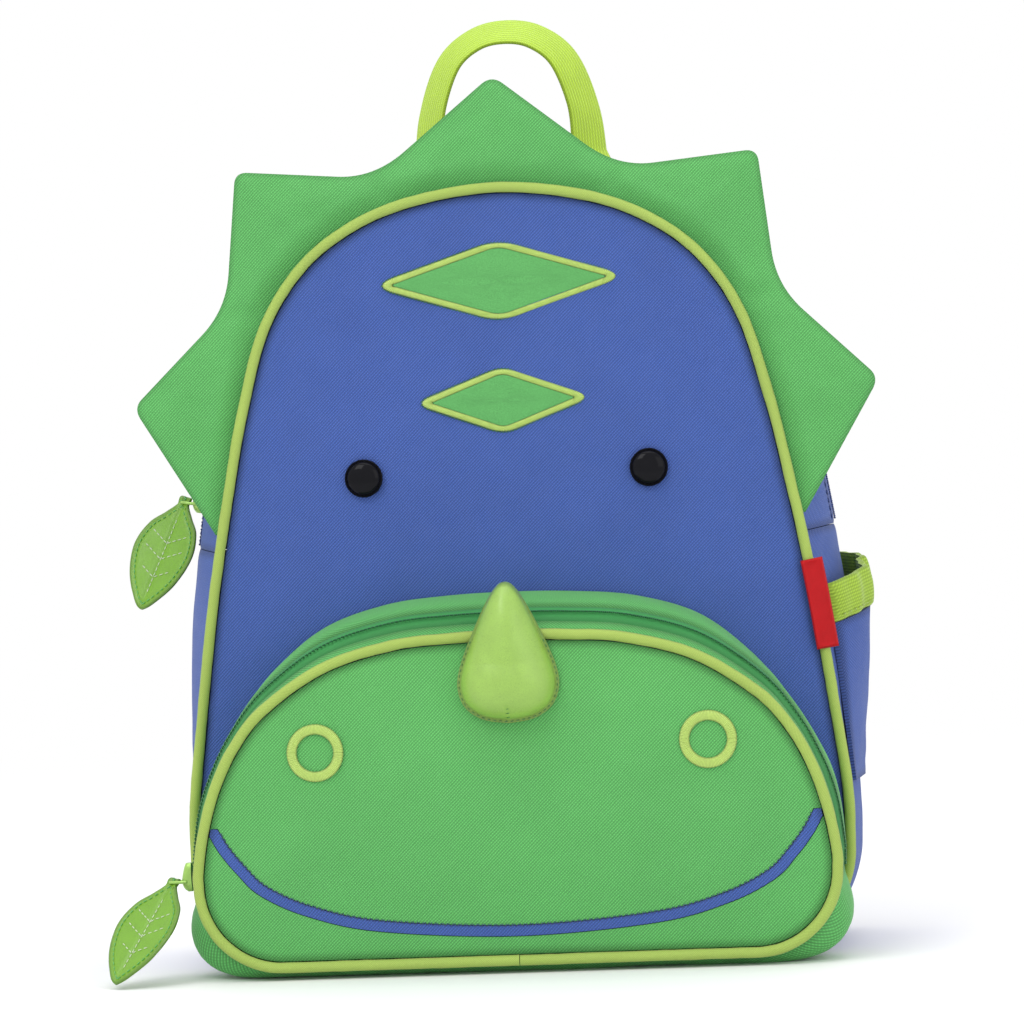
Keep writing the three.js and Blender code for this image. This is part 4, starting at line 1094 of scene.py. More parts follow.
@dataclass
class AnimalFace(SubAssembly):
    """Two stitched lozenges and two round eyes on the face panel."""

    upper: tuple[float, float, float] = (92.0, 30.0, 268.0)
    lower: tuple[float, float, float] = (64.0, 24.5, 221.0)
    border: float = 2.6
    border_height: float = 0.9
    tip_cuts: tuple[float, float] = (0.2, 0.15)
    inner_tip_cuts: tuple[float, float] = (0.03, 0.1)
    eye_diameter: float = 15.0
    eye_dome: float = 4.2
    eye_spacing: float = 112.0
    eye_height: float = 192.5

    def lozenge(self, width: float, height: float, centre: float, inset: float) -> Array:
        """Closed lozenge with slightly rounded tips, in x and z.

        Args:
            width: Width from tip to tip.
            height: Height from tip to tip.
            centre: Height of its middle.
            inset: Distance inside the full outline.

        Returns:
            Its points, spread alike for every inset.
        """
        outer, inner = np.array(self.tip_cuts), np.array(self.inner_tip_cuts)
        cuts = outer + (inner - outer) * inset / self.border
        half = np.array([width, height]) / 2 / (1 - outer / 2)
        half = half * (1 - inset * np.hypot(*half) / np.prod(half))
        corners = [half * way for way in ((1, 0), (0, 1), (-1, 0), (0, -1))]
        points = []
        for i, corner in enumerate(corners):
            before, after = corners[i - 1], corners[(i + 1) % 4]
            cut, next_cut = cuts[i % 2], cuts[1 - i % 2]
            start, end = corner + (before - corner) * cut, corner + (after - corner) * cut
            for t in np.linspace(0, 1, 14):
                points.append((1 - t) ** 2 * start + 2 * t * (1 - t) * corner + t**2 * end)
            points += [
                end + (after + (corner - after) * next_cut - end) * t for t in np.linspace(0, 1, 46)[1:-1]
            ]
        return np.array(points) + (0, centre)

    def build(self) -> None:
        """Make and dress the lozenges and the eyes."""
        for name, size in (("upper", self.upper), ("lower", self.lower)):
            outer, inner = self.lozenge(*size, 0.0), self.lozenge(*size, self.border)
            ring = self.satin(f"lozenge_stitch_{name}", outer, inner, SHAPE.face_surface, self.border_height)
            self.keep(ring, SATIN, "lime_stitching", f"diamond_border_{name}")
            closed = np.vstack([inner, inner[:1]])
            patch = self.flat_patch(
                f"lozenge_patch_{name}", Line(closed, closed=True), (0.0, size[2]), SHAPE.face_surface, 0.9
            )
            self.keep(patch, GREEN_FELT, "green_fabric", f"diamond_{name}")
            self.outline_stitch(f"lozenge_edge_{name}", np.vstack([outer, outer[:1]]))
        for side, sign in (("left", -1), ("right", 1)):
            eye = self.eye(f"round_eye_{side}", sign * self.eye_spacing / 2)
            self.keep(eye, EYE_GLOSS, "black_eye", f"eye_{side}")

    def outline_stitch(self, name: str, points: Array) -> None:
        """Fine dark stitches around a lozenge.

        Args:
            name: Name of the piece.
            points: Closed line of the lozenge's outer edge.
        """
        loop = Line(points, closed=True)
        shares = loop.spaced(1.3)
        along = loop.along(shares)
        ways = at_depth(along, 0.0)
        flat = loop.at(shares) + np.stack([along[:, 1], -along[:, 0]], axis=-1) * 0.25
        places = stand(SHAPE.face_surface, flat, 0.12)
        row = stitches(name, places, ways, facing_viewer(places), (1.2, 0.4, 0.4))
        self.keep(row, GREEN_THREAD, "lime_stitching")

    def eye(self, name: str, x: float) -> bpy.types.Object:
        """Domed button eye with a rim.

        Args:
            name: Name of the piece.
            x: Its place across the face.

        Returns:
            The new object.
        """
        radius = self.eye_diameter / 2
        bend = np.linspace(0, math.pi / 2, 14)
        dome = [(0.86 * radius * math.sin(a), self.eye_dome * (0.42 + 0.58 * math.cos(a))) for a in bend]
        rim = [(0.9, 0.36), (0.95, 0.42), (1.0, 0.34), (1.0, 0.1), (0.96, 0.0)]
        profile = np.array([*dome, *((radius * r, self.eye_dome * h) for r, h in rim), (0.0, 0.0)])
        angle = np.arange(48) / 48 * 2 * math.pi
        rings = np.stack([
            profile[:, :1] * np.cos(angle), -profile[:, 1:] + 0 * angle, profile[:, :1] * np.sin(angle),
        ], axis=-1)
        surface = SHAPE.face_surface
        here = surface(np.array(x), np.array(self.eye_height))
        slope_x = surface(np.array(x + 1), np.array(self.eye_height)) - here
        slope_z = surface(np.array(x), np.array(self.eye_height + 1)) - here
        facing = Vector((slope_x, -1, slope_z)).normalized()
        turn = np.array(Vector((0, -1, 0)).rotation_difference(facing).to_matrix())
        rings = rings @ turn.T + (x, here - SEAM, self.eye_height)
        return tube(name, rings, rings)


@dataclass
class Frill(SubAssembly):
    """Five padded spikes sewn in behind the face piping."""

    half_width: float = 147.4
    top: float = 349.5
    end_height: float = 172.0
    padding: float = 7.0
    seam: float = 2.0
    tip_round: float = 0.09
    valley_round: float = 0.26
    end_reach: float = 3.0
    corners: tuple = (
        (0, 1, 0), (0.326, 0.888, 0.228), (0.7, 0.902, 0.387), (0.738, 0.745, 0.561), (1, 0.636, 0.78)
    )

    def edge(self) -> Array:
        """Outer edge of the right half: x, z and the share of the sewn edge below it."""
        height = self.top - SHAPE.rim
        corners = [np.array([a * self.half_width, SHAPE.rim + r * height, s]) for a, r, s in self.corners]
        end = float(SHAPE.face.share_at(self.end_height))
        root = SHAPE.face.at(end) + SHAPE.face.outward(end) * self.end_reach
        corners.append(np.append(root, 1.0))
        mirrored = corners[1] * (-1, 1, -1)
        rows = []
        for i, corner in enumerate(corners[:-1]):
            before, after = (mirrored if i == 0 else corners[i - 1]), corners[i + 1]
            cut = self.valley_round if i % 2 else self.tip_round
            start, finish = corner + (before - corner) * cut, corner + (after - corner) * cut
            for t in np.linspace(0, 1, 13):
                if i > 0 or t >= 0.5:
                    rows.append((1 - t) ** 2 * start + 2 * t * (1 - t) * corner + t**2 * finish)
            next_cut = self.tip_round if i % 2 else self.valley_round
            reach = after if i == len(corners) - 2 else after + (corner - after) * next_cut
            rows += [finish + (reach - finish) * t for t in np.linspace(0, 1, 14)[1:-1]]
        return np.array([*rows, corners[-1]])

    def build(self) -> None:
        """Make and dress the frill."""
        right = self.edge()
        rows = np.vstack([right[:0:-1] * (-1, 1, -1), right])
        end = float(SHAPE.face.share_at(self.end_height))
        share = 0.5 - rows[:, 2] * (0.5 - end)
        clear = SHAPE.gusset_swell(share, 0 * share + (SEAM + self.seam) / SHAPE.gusset_width) + SEAM
        root = SHAPE.face.at(share) + SHAPE.face.outward(share) * clear[:, None]
        spots = np.sin(np.linspace(0, math.pi / 2, 34)) ** 0.9
        flat = root[:, None] + (rows[:, None, :2] - root[:, None]) * spots[None, :, None]
        outer = rows[:, :2]
        gap = distance_to(flat, outer)
        rise = smoothstep(np.linalg.norm(flat - root[:, None], axis=-1), 0.5, 9)
        puff = rise * (1 - np.exp(-gap / 5.5))
        place = planar(flat, gap)
        folds = 2.3 * crinkle(place, 24, 4.0) + 0.9 * crinkle(place, 10, 7.0)
        for index in (1, 3):
            for sign in (-1, 1):
                corner = np.array(self.corners[index])
                top = np.array(
                    [sign * corner[0] * self.half_width, SHAPE.rim + corner[1] * (self.top - SHAPE.rim)]
                )
                foot_share = 0.5 - sign * corner[2] * (0.5 - end)
                foot = SHAPE.face.at(foot_share)
                way = (foot - top) / np.linalg.norm(foot - top)
                offset = flat - top
                aside = offset[..., 0] * way[1] - offset[..., 1] * way[0]
                folds -= 3.2 * np.exp(-((aside / 3.6) ** 2)) * smoothstep(gap, 0, 8)
        half = self.seam / 2 + (self.padding - self.seam) / 2 * puff + folds * puff * 0.6
        depth = SHAPE.front + SHAPE.inset + SEAM + self.seam / 2
        cloth = planar(flat, np.minimum(gap, 20) + 1.2)
        frill = shell("spiked_frill", at_depth(flat, depth - half), at_depth(flat, depth + half), cloth)
        self.keep(frill, GREEN_CLOTH, "green_fabric", "frill")


@dataclass
class MuzzlePocket(SubAssembly):
    """Zipped pocket on the front, with its mouth line, nostril rings and horn."""

    panel_thickness: float = 2.0
    zip_seam_height: float = 32.0
    zip_width: float = 9.0
    teeth_height: float = 0.9
    mouth_height: float = 58.0
    mouth_width: float = 4.0
    mouth_raise: float = 0.2
    mouth_rows: tuple = (
        (0, 0.093), (0.427, 0.12), (0.65, 0.172), (0.793, 0.238), (0.862, 0.304), (0.914, 0.368)
    )
    nostril_spacing: float = 151.0
    nostril_height: float = 87.5
    nostril_outer: float = 11.1
    nostril_inner: float = 7.1

    def mouth_line(self) -> Line:
        """Line of the mouth from left to right, in x and z."""
        outline = SHAPE.muzzle
        share = float(outline.share_at(self.mouth_height))
        end = outline.at(share) - outline.outward(share) * (SHAPE.inset + self.mouth_width / 2 + SEAM)
        height = SHAPE.muzzle_top - SHAPE.rim
        right = [
            (reach * SHAPE.muzzle_half_width, SHAPE.rim + rise * height) for reach, rise in self.mouth_rows
        ]
        right = np.array([*right, end])
        return Line(catmull(np.vstack([right[:0:-1] * (-1, 1), right])))

    def ruled(
        self, name: str, low: Array, high: Array, lift: float, count: int, seed: float
    ) -> bpy.types.Object:
        """Cloth between two lines on the muzzle's surface.

        Args:
            name: Name of the piece.
            low: Points of the lower line, in x and z.
            high: Points of the upper line.
            lift: How far the cloth stands proud.
            count: Number of steps between the lines.
            seed: Place in the noise.

        Returns:
            The new object.
        """
        spot = np.linspace(0, 1, count)[None, :, None]
        flat = low[:, None] + (high - low)[:, None] * spot
        width = np.linalg.norm(high - low, axis=-1)[:, None]
        outline = SHAPE.muzzle
        seam = np.maximum(distance_to(flat, outline.at(np.linspace(0, 1, 240) * 0.9999)) - SHAPE.inset, 0)
        seam = np.minimum(seam, np.minimum(spot[..., 0], 1 - spot[..., 0]) * width + 3.2)
        base = planar(flat, 0.0)
        soft = 0.9 * crinkle(base, 60, seed) + 0.35 * crinkle(base, 16, seed + 2)
        relief = (soft * smoothstep(seam, 0, 22) - 0.6 * np.exp(-seam / 2)) * min(1.0, count / 20) + lift
        front = stand(SHAPE.muzzle_surface, flat, relief)
        back = stand(SHAPE.muzzle_surface, flat, lift - self.panel_thickness)
        return shell(name, front, back, planar(flat, seam))

    def build(self) -> None:
        """Make and dress the pocket's pieces."""
        outline = SHAPE.muzzle
        line = self.mouth_line()
        t = np.linspace(0, 1, 280)
        half = self.mouth_width / 2

        def rim(shares: Array) -> Array:
            """Edge of the panel at shares of the outline."""
            return outline.at(shares) - outline.outward(shares) * SHAPE.inset

        def beside(offset: float) -> Array:
            """Line beside the mouth, from rim to rim."""
            spread = np.linspace(-0.006, 1.006, 900)
            ways = line.along(np.clip(spread, 0.01, 0.99))
            beyond = (spread - np.clip(spread, 0, 1))[:, None] * line.length
            inside = line.at(spread) + beyond * ways
            places = inside + np.stack([-ways[:, 1], ways[:, 0]], axis=-1) * offset
            limit = outline.half_width_at(places[:, 1]) - SHAPE.inset - SEAM
            inner = np.abs(places[:, 0]) < limit
            limit, places = limit[inner], places[inner]
            left, right = (-limit[0], places[0, 1]), (limit[-1], places[-1, 1])
            return Line(np.vstack([left, places, right])).at(t)

        upper, lower = beside(half + SEAM), beside(-half - SEAM)
        above = float(outline.share_at(upper[-1, 1]))
        below = float(outline.share_at(lower[-1, 1]))
        foot = rim(-below + 2 * below * t)
        arch = rim(1 - above + (2 * above - 1) * t)
        cheek = self.ruled("muzzle_cloth", upper, arch, 0.0, 60, 21.0)
        self.keep(cheek, GREEN_CLOTH, "green_fabric", "muzzle_panel")
        lip = self.ruled("lip_cloth", foot, lower, 0.0, 24, 25.0)
        self.keep(lip, GREEN_CLOTH, "green_fabric", "muzzle_lip")
        strip = self.ruled("mouth_strip", beside(-half), beside(half), self.mouth_raise, 7, 2.0)
        self.keep(strip, BLUE_CLOTH, "blue_fabric", "mouth_line")
        self.mouth_stitch(line)
        self.keep(
            self.piping("muzzle_cord", outline, SHAPE.muzzle_plane), PIPING_CLOTH, "lime_piping",
            "muzzle_piping"
        )

        seam = float(outline.share_at(self.zip_seam_height))
        butt = SEAM / 2 / outline.length
        depth = SHAPE.muzzle_depth
        tape = self.zip_width / depth
        middle = SHAPE.muzzle_zip_place
        reach = tape / 2 + SEAM / depth
        over = np.linspace(seam + butt, 1 - seam - butt, 380)
        skin = SHAPE.muzzle_skin
        front = self.wall(
            "muzzle_front_wall", skin, outline.length, over, np.linspace(0, middle - reach, 9), depth, 6.0
        )
        self.keep(front, GREEN_CLOTH, "green_fabric", "muzzle_gusset_front")
        rear = self.wall(
            "muzzle_back_wall", skin, outline.length, over, np.linspace(middle + reach, 1, 16), depth, 8.0
        )
        self.keep(rear, GREEN_CLOTH, "green_fabric", "muzzle_gusset_back")
        strip = np.linspace(middle - tape / 2, middle + tape / 2, 9)
        tape_piece = self.wall("muzzle_zip_tape", skin, outline.length, over, strip, depth, 4.0)
        self.keep(tape_piece, ZIP_TAPE_GREEN, "green_zip", "muzzle_zip")
        teeth = self.coil(
            "muzzle_zip_coil", skin, outline, (over[2], over[-3]), middle, self.teeth_height * 0.4
        )
        self.keep(teeth, GREEN_COIL, "green_zip")
        lower = np.linspace(butt - seam, seam - butt, 300)
        bottom = self.wall(
            "muzzle_lower_wall", skin, outline.length, lower, np.linspace(0, 1, 24), depth, 12.0
        )
        self.keep(bottom, GREEN_CLOTH, "green_fabric", "muzzle_gusset_bottom")
        for side, sign in (("left", -1), ("right", 1)):
            self.nostril(side, sign)

    def mouth_stitch(self, line: Line) -> None:
        """Fine zigzag along the upper edge of the mouth strip.

        Args:
            line: Line of the mouth.
        """
        t = line.spaced(1.15)
        along = line.along(t)
        up = np.stack([-along[..., 1], along[..., 0]], axis=-1)
        flat = line.at(t) + up * (self.mouth_width / 2 + 0.2)
        tilt = np.where(np.arange(len(t)) % 2 == 0, 1.0, -1.0)[:, None]
        way = along * 0.6 + up * tilt
        places = stand(SHAPE.muzzle_surface, flat, self.mouth_raise * 0.8)
        row = stitches("mouth_zigzag", places, at_depth(way, 0.0), facing_viewer(places), (1.5, 0.42, 0.5))
        self.keep(row, BLUE_THREAD, "blue_fabric")

    def nostril(self, side: str, sign: int) -> None:
        """Satin ring of one nostril.

        Args:
            side: left or right.
            sign: -1 on the left, 1 on the right.
        """
        angle = np.arange(120) / 120 * 2 * math.pi
        circle = np.column_stack([np.cos(angle), np.sin(angle)])
        centre = np.array([sign * self.nostril_spacing / 2, self.nostril_height])
        outer, inner = circle * self.nostril_outer + centre, circle * self.nostril_inner + centre
        ring = self.satin(f"nostril_stitch_{side}", outer, inner, SHAPE.muzzle_surface, 0.9, 0.8)
        self.keep(ring, SATIN, "lime_stitching", f"nostril_ring_{side}")


@dataclass
class Horn(SubAssembly):
    """Stuffed horn of faux leather on the muzzle."""

    height: float = 54.0
    width: float = 39.0
    bottom: float = 96.5
    depth: float = 15.0
    edge: float = 1.6
    flange: float = 1.4
    fullest_rise: float = 0.34
    stitched_rise: float = 0.6
    rows: tuple = (
        (0, 0), (0.5, 0.03), (0.86, 0.12), (1, 0.26), (0.93, 0.42),
        (0.68, 0.64), (0.38, 0.86), (0.17, 0.97), (0, 1),
    )

    def rest(self, flat: Array, lift: Array | float) -> Array:
        """Points over the muzzle and its piping, moved towards the viewer by a lift."""
        base = np.minimum(SHAPE.muzzle_surface(flat[..., 0], flat[..., 1]), SHAPE.muzzle_plane - SHAPE.piping)
        return at_depth(flat, base - SEAM - lift)

    def fullness(self, flat: Array, seam: Array) -> Array:
        """Share of the stuffing at places of the horn.

        Args:
            flat: Places in x and z.
            seam: Their distances from the edge.

        Returns:
            0 on the thin edge, 1 in the middle.
        """
        climb = (flat[..., 1] - self.bottom) / self.height
        flange = self.flange * (1 - 0.8 * smoothstep(climb, 0.55, 0.95))
        middle = np.array([0.0, self.bottom + self.fullest_rise * self.height])
        reach = np.linalg.norm(flat - middle, axis=-1)
        ring = reach / np.maximum(reach + seam - flange, 1e-6)
        return np.sqrt(np.clip(1 - ring**2, 0, 1))

    def build(self) -> None:
        """Make and dress the horn, its edge stitches and the dart at its foot."""
        right = np.array(
            [(reach * self.width / 2, self.bottom + rise * self.height) for reach, rise in self.rows]
        )
        left = right[-2:0:-1] * (-1, 1)
        loop = Line(catmull(np.vstack([right, left, right[:1]])), closed=True)
        edge = loop.at(np.arange(220) / 220)
        middle = np.array([0.0, self.bottom + self.fullest_rise * self.height])
        ring = np.append(np.sin(np.linspace(0, 1.36, 34)) * 0.975, [0.975, 0.985, 1.0])[:, None]
        flat = middle + (edge - middle) * ring[..., None]
        seam = (1 - ring) * np.linalg.norm(edge - middle, axis=-1)
        full = self.fullness(flat, seam)
        dart = np.exp(-((flat[..., 0] / 0.8) ** 2)) * smoothstep(
            -flat[..., 1], -self.bottom - 8.5, -self.bottom - 5
        )
        puff = self.edge + (self.depth - self.edge) * full - 1.4 * dart * full
        puff += 0.35 * crinkle(planar(flat, 0.0), 8, 5.0) * full
        horn = shell(
            "stuffed_horn", self.rest(flat, puff), self.rest(flat, 0.0), planar(flat, seam), True, True
        )
        self.keep(horn, HORN_LEATHER, "horn_leather", "horn")

        shares = loop.spaced(2.3)
        shares = shares[loop.at(shares)[:, 1] < self.bottom + self.stitched_rise * self.height]
        on_edge = middle + (loop.at(shares) - middle) * 0.966
        along = loop.along(shares)
        ways = at_depth(along, 0.0)
        upward = facing_viewer(ways)
        row = stitches("horn_stitches", self.rest(on_edge, self.edge + 0.1), ways, upward, (1.3, 0.4, 0.45))
        self.keep(row, GREEN_THREAD, "horn_leather")
        heights = np.linspace(self.bottom + 2.4, self.bottom + 7.5, 4)
        spots = np.column_stack([0 * heights, heights])
        full = self.fullness(spots, heights - self.bottom)
        lift = self.edge + (self.depth - self.edge) * full - 1.3 * full
        crossways = np.broadcast_to((1.0, 0.0, 0.15), (len(heights), 3))
        dart_row = stitches(
            "dart_stitches", self.rest(spots, lift), crossways, upward[: len(heights)], (1.5, 0.4, 0.5)
        )
        self.keep(dart_row, GREEN_THREAD, "horn_leather")


@dataclass
class SidePocket(SubAssembly):
    """Open pocket on the right wall with a gathered binding, and the blank tag beside it."""

    bottom: float = 66.0
    front_mouth: float = 127.5
    back_mouth: float = 139.0
    width: float = 70.0
    swell: float = 9.0
    fullness: float = 0.6
    pinch: float = 0.45
    pinch_width: float = 0.13
    binding_height: float = 15.5
    binding_thickness: float = 2.4
    gathers: int = 7
    gather_depth: float = 1.1
    cloth_height: float = 70.0
    stitch_climb: float = 1.16
    tag_length: float = 35.0
    tag_width: float = 8.7
    tag_sewn: float = 3.2
    tag_thickness: float = 1.2
    tag_bottom: float = 119.0
    swell_rows: tuple = ((0, 0), (0.15, 0.12), (0.4, 0.3), (0.7, 0.6), (1, 1))

    def skin(self, climb: Array, across: Array, lift: Array | float) -> Array:
        """Points of the pocket's wall: climb is 1 at its mouth and 2 at the top of the binding."""
        mouth = self.front_mouth + (self.back_mouth - self.front_mouth) * across
        low = np.minimum(climb, 1)
        height = self.bottom + (mouth - self.bottom) * low + self.binding_height * np.maximum(climb - 1, 0)
        share = SHAPE.face.share_at(height)
        depth = self.width * (across - 0.5)
        wall = SHAPE.gusset_swell(share, (depth - SHAPE.front - SHAPE.inset) / SHAPE.gusset_width)
        rows = np.array(self.swell_rows)
        swell = self.swell * np.interp(low, rows[:, 0], rows[:, 1])
        pinch = self.pinch * low * np.exp(-(((across - 0.5) / self.pinch_width) ** 2))
        full = swell * np.sin(math.pi * np.clip(across, 0, 1)) ** self.fullness * (1 - pinch)
        proud = wall + SHAPE.cloth + 2 * SEAM + full + lift
        flat = SHAPE.face.at(share) + SHAPE.face.outward(share) * proud[..., None]
        return at_depth(flat, depth)

    def build(self) -> None:
        """Make and dress the pocket, its binding and the tag."""
        climb, across = np.meshgrid(np.linspace(0, 1, 48), np.linspace(0, 1, 70), indexing="ij")
        edge = np.sin(math.pi * across)
        folds = 0.8 * crinkle(self.skin(climb, across, 0.0), 15, 3.0) * edge
        seam = np.minimum(
            np.minimum(across, 1 - across) * self.width, np.minimum(climb, 1 - climb) * self.cloth_height
        )
        cloth = np.stack(
            [across * self.width, climb * self.cloth_height, np.clip(seam, 0, FAR_FROM_SEAM)], axis=-1
        )
        inner = self.skin(climb, across, folds - SHAPE.cloth)
        pocket = shell("pocket_cloth", self.skin(climb, across, folds), inner, cloth)
        self.keep(pocket, BLUE_CLOTH, "blue_fabric", "side_pocket")

        start = 1 + SEAM / self.binding_height
        climb, across = np.meshgrid(np.linspace(start, 2, 22), np.linspace(0, 1, 180), indexing="ij")
        edge = np.sin(math.pi * across)
        roll = np.sin(math.pi * np.clip((climb - start) / (2 - start), 0, 1)) ** 0.4
        pleat = self.gather_depth * np.sin(
            2 * math.pi * self.gathers * across + 1.2 * np.sin(9 * across)
        ) * edge
        proud = self.binding_thickness - SHAPE.cloth
        outer = self.skin(climb, across, pleat + proud * (2 * roll - 1) + 0.4)
        inner = self.skin(climb, across, 0.5 * pleat - SHAPE.cloth - 0.4 * roll)
        # Painted shade: the seam distance is three times the roll, so the finish darkens both rolled edges.
        cloth = np.stack([across * self.width * 1.3, climb * 14, 3 * roll], axis=-1)
        binding = shell("gathered_binding", outer, inner, cloth)
        self.keep(binding, ELASTIC, "lime_piping", "pocket_binding")
        spot = np.linspace(0.03, 0.97, 26)
        climb = 0 * spot + self.stitch_climb
        place = self.skin(climb, spot, 0 * spot + 1.3)
        upward = self.skin(climb, spot, 0 * spot + 2.3) - place
        row = stitches("binding_stitches", place, np.gradient(place, axis=0), upward, (1.9, 0.45, 0.5))
        self.keep(row, LIME_THREAD, "lime_piping")
        self.tag()

    def tag(self) -> None:
        """Bare folded tag sewn in behind the face piping."""
        t, spot = np.meshgrid(np.linspace(0, 1, 40), np.linspace(0, 1, 14), indexing="ij")
        share = SHAPE.face.share_at(self.tag_bottom + t * self.tag_length)
        reach = -self.tag_sewn + self.tag_width * spot
        flat = SHAPE.face.at(share) + SHAPE.face.outward(share) * reach[..., None]
        depth = SHAPE.front - SHAPE.piping - SEAM + 0 * t
        hem = np.minimum(np.minimum(t, 1 - t) * self.tag_length, np.minimum(spot, 1 - spot) * self.tag_width)
        puff = self.tag_thickness * (
            0.72 + 0.28 * np.exp(-(((hem - 0.8) / 0.5) ** 2))
        ) * smoothstep(hem, -0.6, 0.5)
        cloth = np.stack([t * self.tag_length, spot * self.tag_width, hem + 0.3], axis=-1)
        tag = shell("bare_tag", at_depth(flat, depth - puff), at_depth(flat, depth), cloth)
        self.keep(tag, TAG_WEAVE, "red_tag", "side_label")


@dataclass
class ZipPull(SubAssembly):
    """Slider with a leaf of faux leather."""

    name: str
    skin: Skin
    share: float
    across: float
    hang: tuple[float, float, float]
    facing: tuple[float, float, float]
    teeth_height: float = 0.9
    slider_length: float = 11.0
    slider_width: float = 7.0
    slider_thickness: float = 4.0
    bail_width: float = 4.6
    bail_wire: float = 1.3
    leaf_length: float = 50.0
    leaf_width: float = 28.0
    leaf_thickness: float = 1.6
    stem: float = 5.0
    stem_length: float = 5.5
    neck: float = 3.3
    cup: float = 1.0
    leaf_rows: tuple = ((0.45, 0.06), (0.82, 0.2), (1, 0.42), (0.84, 0.66), (0.48, 0.86), (0, 1))
    slider_rows: tuple = (
        (-0.5, 0.32, 0.55), (-0.32, 0.45, 0.75), (0.1, 0.5, 1), (0.36, 0.42, 0.85), (0.5, 0.26, 0.5)
    )

    @staticmethod
    def turned(along: Array, facing: Array) -> Array:
        """Rotation whose columns are across, along and facing."""
        y = along / np.linalg.norm(along)
        z = facing - y * float(facing @ y)
        z /= np.linalg.norm(z)
        return np.column_stack([np.cross(y, z), y, z])

    def build(self) -> None:
        """Make and dress the slider, the leaf and the leaf's stitches."""
        here, half = np.array(self.share), np.array(self.across)
        seat = self.skin(here, half, np.array(self.teeth_height + SEAM))
        outwards = self.skin(here, half, np.array(1.0)) - self.skin(here, half, np.array(0.0))
        along = self.skin(here + 0.002, half, np.array(0.0)) - self.skin(here, half, np.array(0.0))
        turn = self.turned(along, outwards)
        self.slider(turn, seat)
        leaf_turn = self.turned(-np.array(self.hang), np.array(self.facing))
        outwards = outwards / np.linalg.norm(outwards)
        edgeways, flatways = np.abs(outwards @ leaf_turn)[[0, 2]]
        reach = edgeways * self.stem / 2 + flatways * self.leaf_thickness / 2
        self.leaf(leaf_turn, seat + outwards * (self.slider_thickness + SEAM + reach))
        self.bail(turn, seat - leaf_turn[:, 1] * self.stem_length * 0.4, self.slider_thickness + 1.6 * reach)

    def slider(self, turn: Array, seat: Array) -> None:
        """Slider body.

        Args:
            turn: Rotation from its own directions.
            seat: Place of its underside's middle.
        """
        rows = catmull(np.array(self.slider_rows), 6)
        angle = np.linspace(0, math.pi, 13)
        rings = []
        for place, half, high in rows:
            x = half * self.slider_width * np.sign(np.cos(angle)) * np.abs(np.cos(angle)) ** 0.6
            up = high * self.slider_thickness * np.sin(angle) ** 0.6
            rings.append(np.stack([x, 0 * angle + place * self.slider_length, up], axis=-1))
        body = tube(f"{self.name}_zip_slider", np.array(rings) @ turn.T + seat, np.array(rings))
        self.keep(body, SLIDER_PAINT, "zip_slider", f"{self.name}_slider")

    def bail(self, turn: Array, seat: Array, height: float) -> None:
        """Wire loop that holds the leaf's stem on the slider.

        Args:
            turn: Rotation of the slider.
            seat: Place under the middle of the loop.
            height: How far the loop stands up from that place.
        """
        angle = np.linspace(0, math.pi, 29)[:, None]
        round_wire = np.arange(10) / 10 * 2 * math.pi
        normal = np.stack([np.cos(angle), 0 * angle, np.sin(angle)], axis=-1)
        path = normal * (self.bail_width / 2, 1, height - 1) + (0, 0, 1)
        wire = np.cos(round_wire)[:, None] * normal + np.sin(round_wire)[:, None] * np.array((0.0, 1.0, 0.0))
        rings = path + wire * self.bail_wire / 2
        loop = tube(f"{self.name}_slider_bail", rings @ turn.T + seat, rings)
        self.keep(loop, SLIDER_PAINT, "zip_slider")

    def leaf(self, turn: Array, seat: Array) -> None:
        """Stitched leaf that hangs from the slider.

        Args:
            turn: Rotation from its own directions.
            seat: Place of the end of its stem.
        """
        blade = self.leaf_length - self.stem_length
        half = self.stem / 2
        right = [
            (reach * self.leaf_width / 2, -self.stem_length - rise * blade) for reach, rise in self.leaf_rows
        ]
        right = np.array([(half, 0), (half, -self.neck), *right])
        loop = Line(catmull(np.vstack([right, right[-2::-1] * (-1, 1), right[:1]]), 24), closed=True)
        middle = np.array([0.0, -self.leaf_length / 2])
        edge = loop.at(np.arange(200) / 200)
        ring = np.sin(np.linspace(0, math.pi / 2, 22))[:, None]
        flat = middle + (edge - middle) * ring[..., None]
        seam = (1 - ring) * np.linalg.norm(edge - middle, axis=-1)
        thick = self.leaf_thickness / 2

        def lay(places: Array, lift: Array | float) -> Array:
            """Places of the leaf's plane at a lift, in the bag's directions."""
            aside = places[..., 0]
            bend = self.cup * (aside / self.leaf_width * 2) ** 2 - 0.5 * np.exp(-((aside / 1.2) ** 2))
            local = np.stack([places[..., 0], places[..., 1], bend + lift], axis=-1)
            return local @ turn.T + seat

        groove = 0.25 * np.exp(-(((seam - 2.3) / 0.5) ** 2))
        cloth = np.stack([flat[..., 0], flat[..., 1], seam], axis=-1)
        soft = thick * smoothstep(seam, -0.8, 0.8) + 0.12 * crinkle(cloth * (1, 1, 0), 6, 3.0)
        leaf = shell(
            f"{self.name}_stitched_leaf", lay(flat, soft - groove), lay(flat, -soft), cloth, True, True
        )
        self.keep(leaf, LEAF_LEATHER, "leaf_leather", f"{self.name}_leaf")
        self.leaf_stitches(loop, lay, thick)

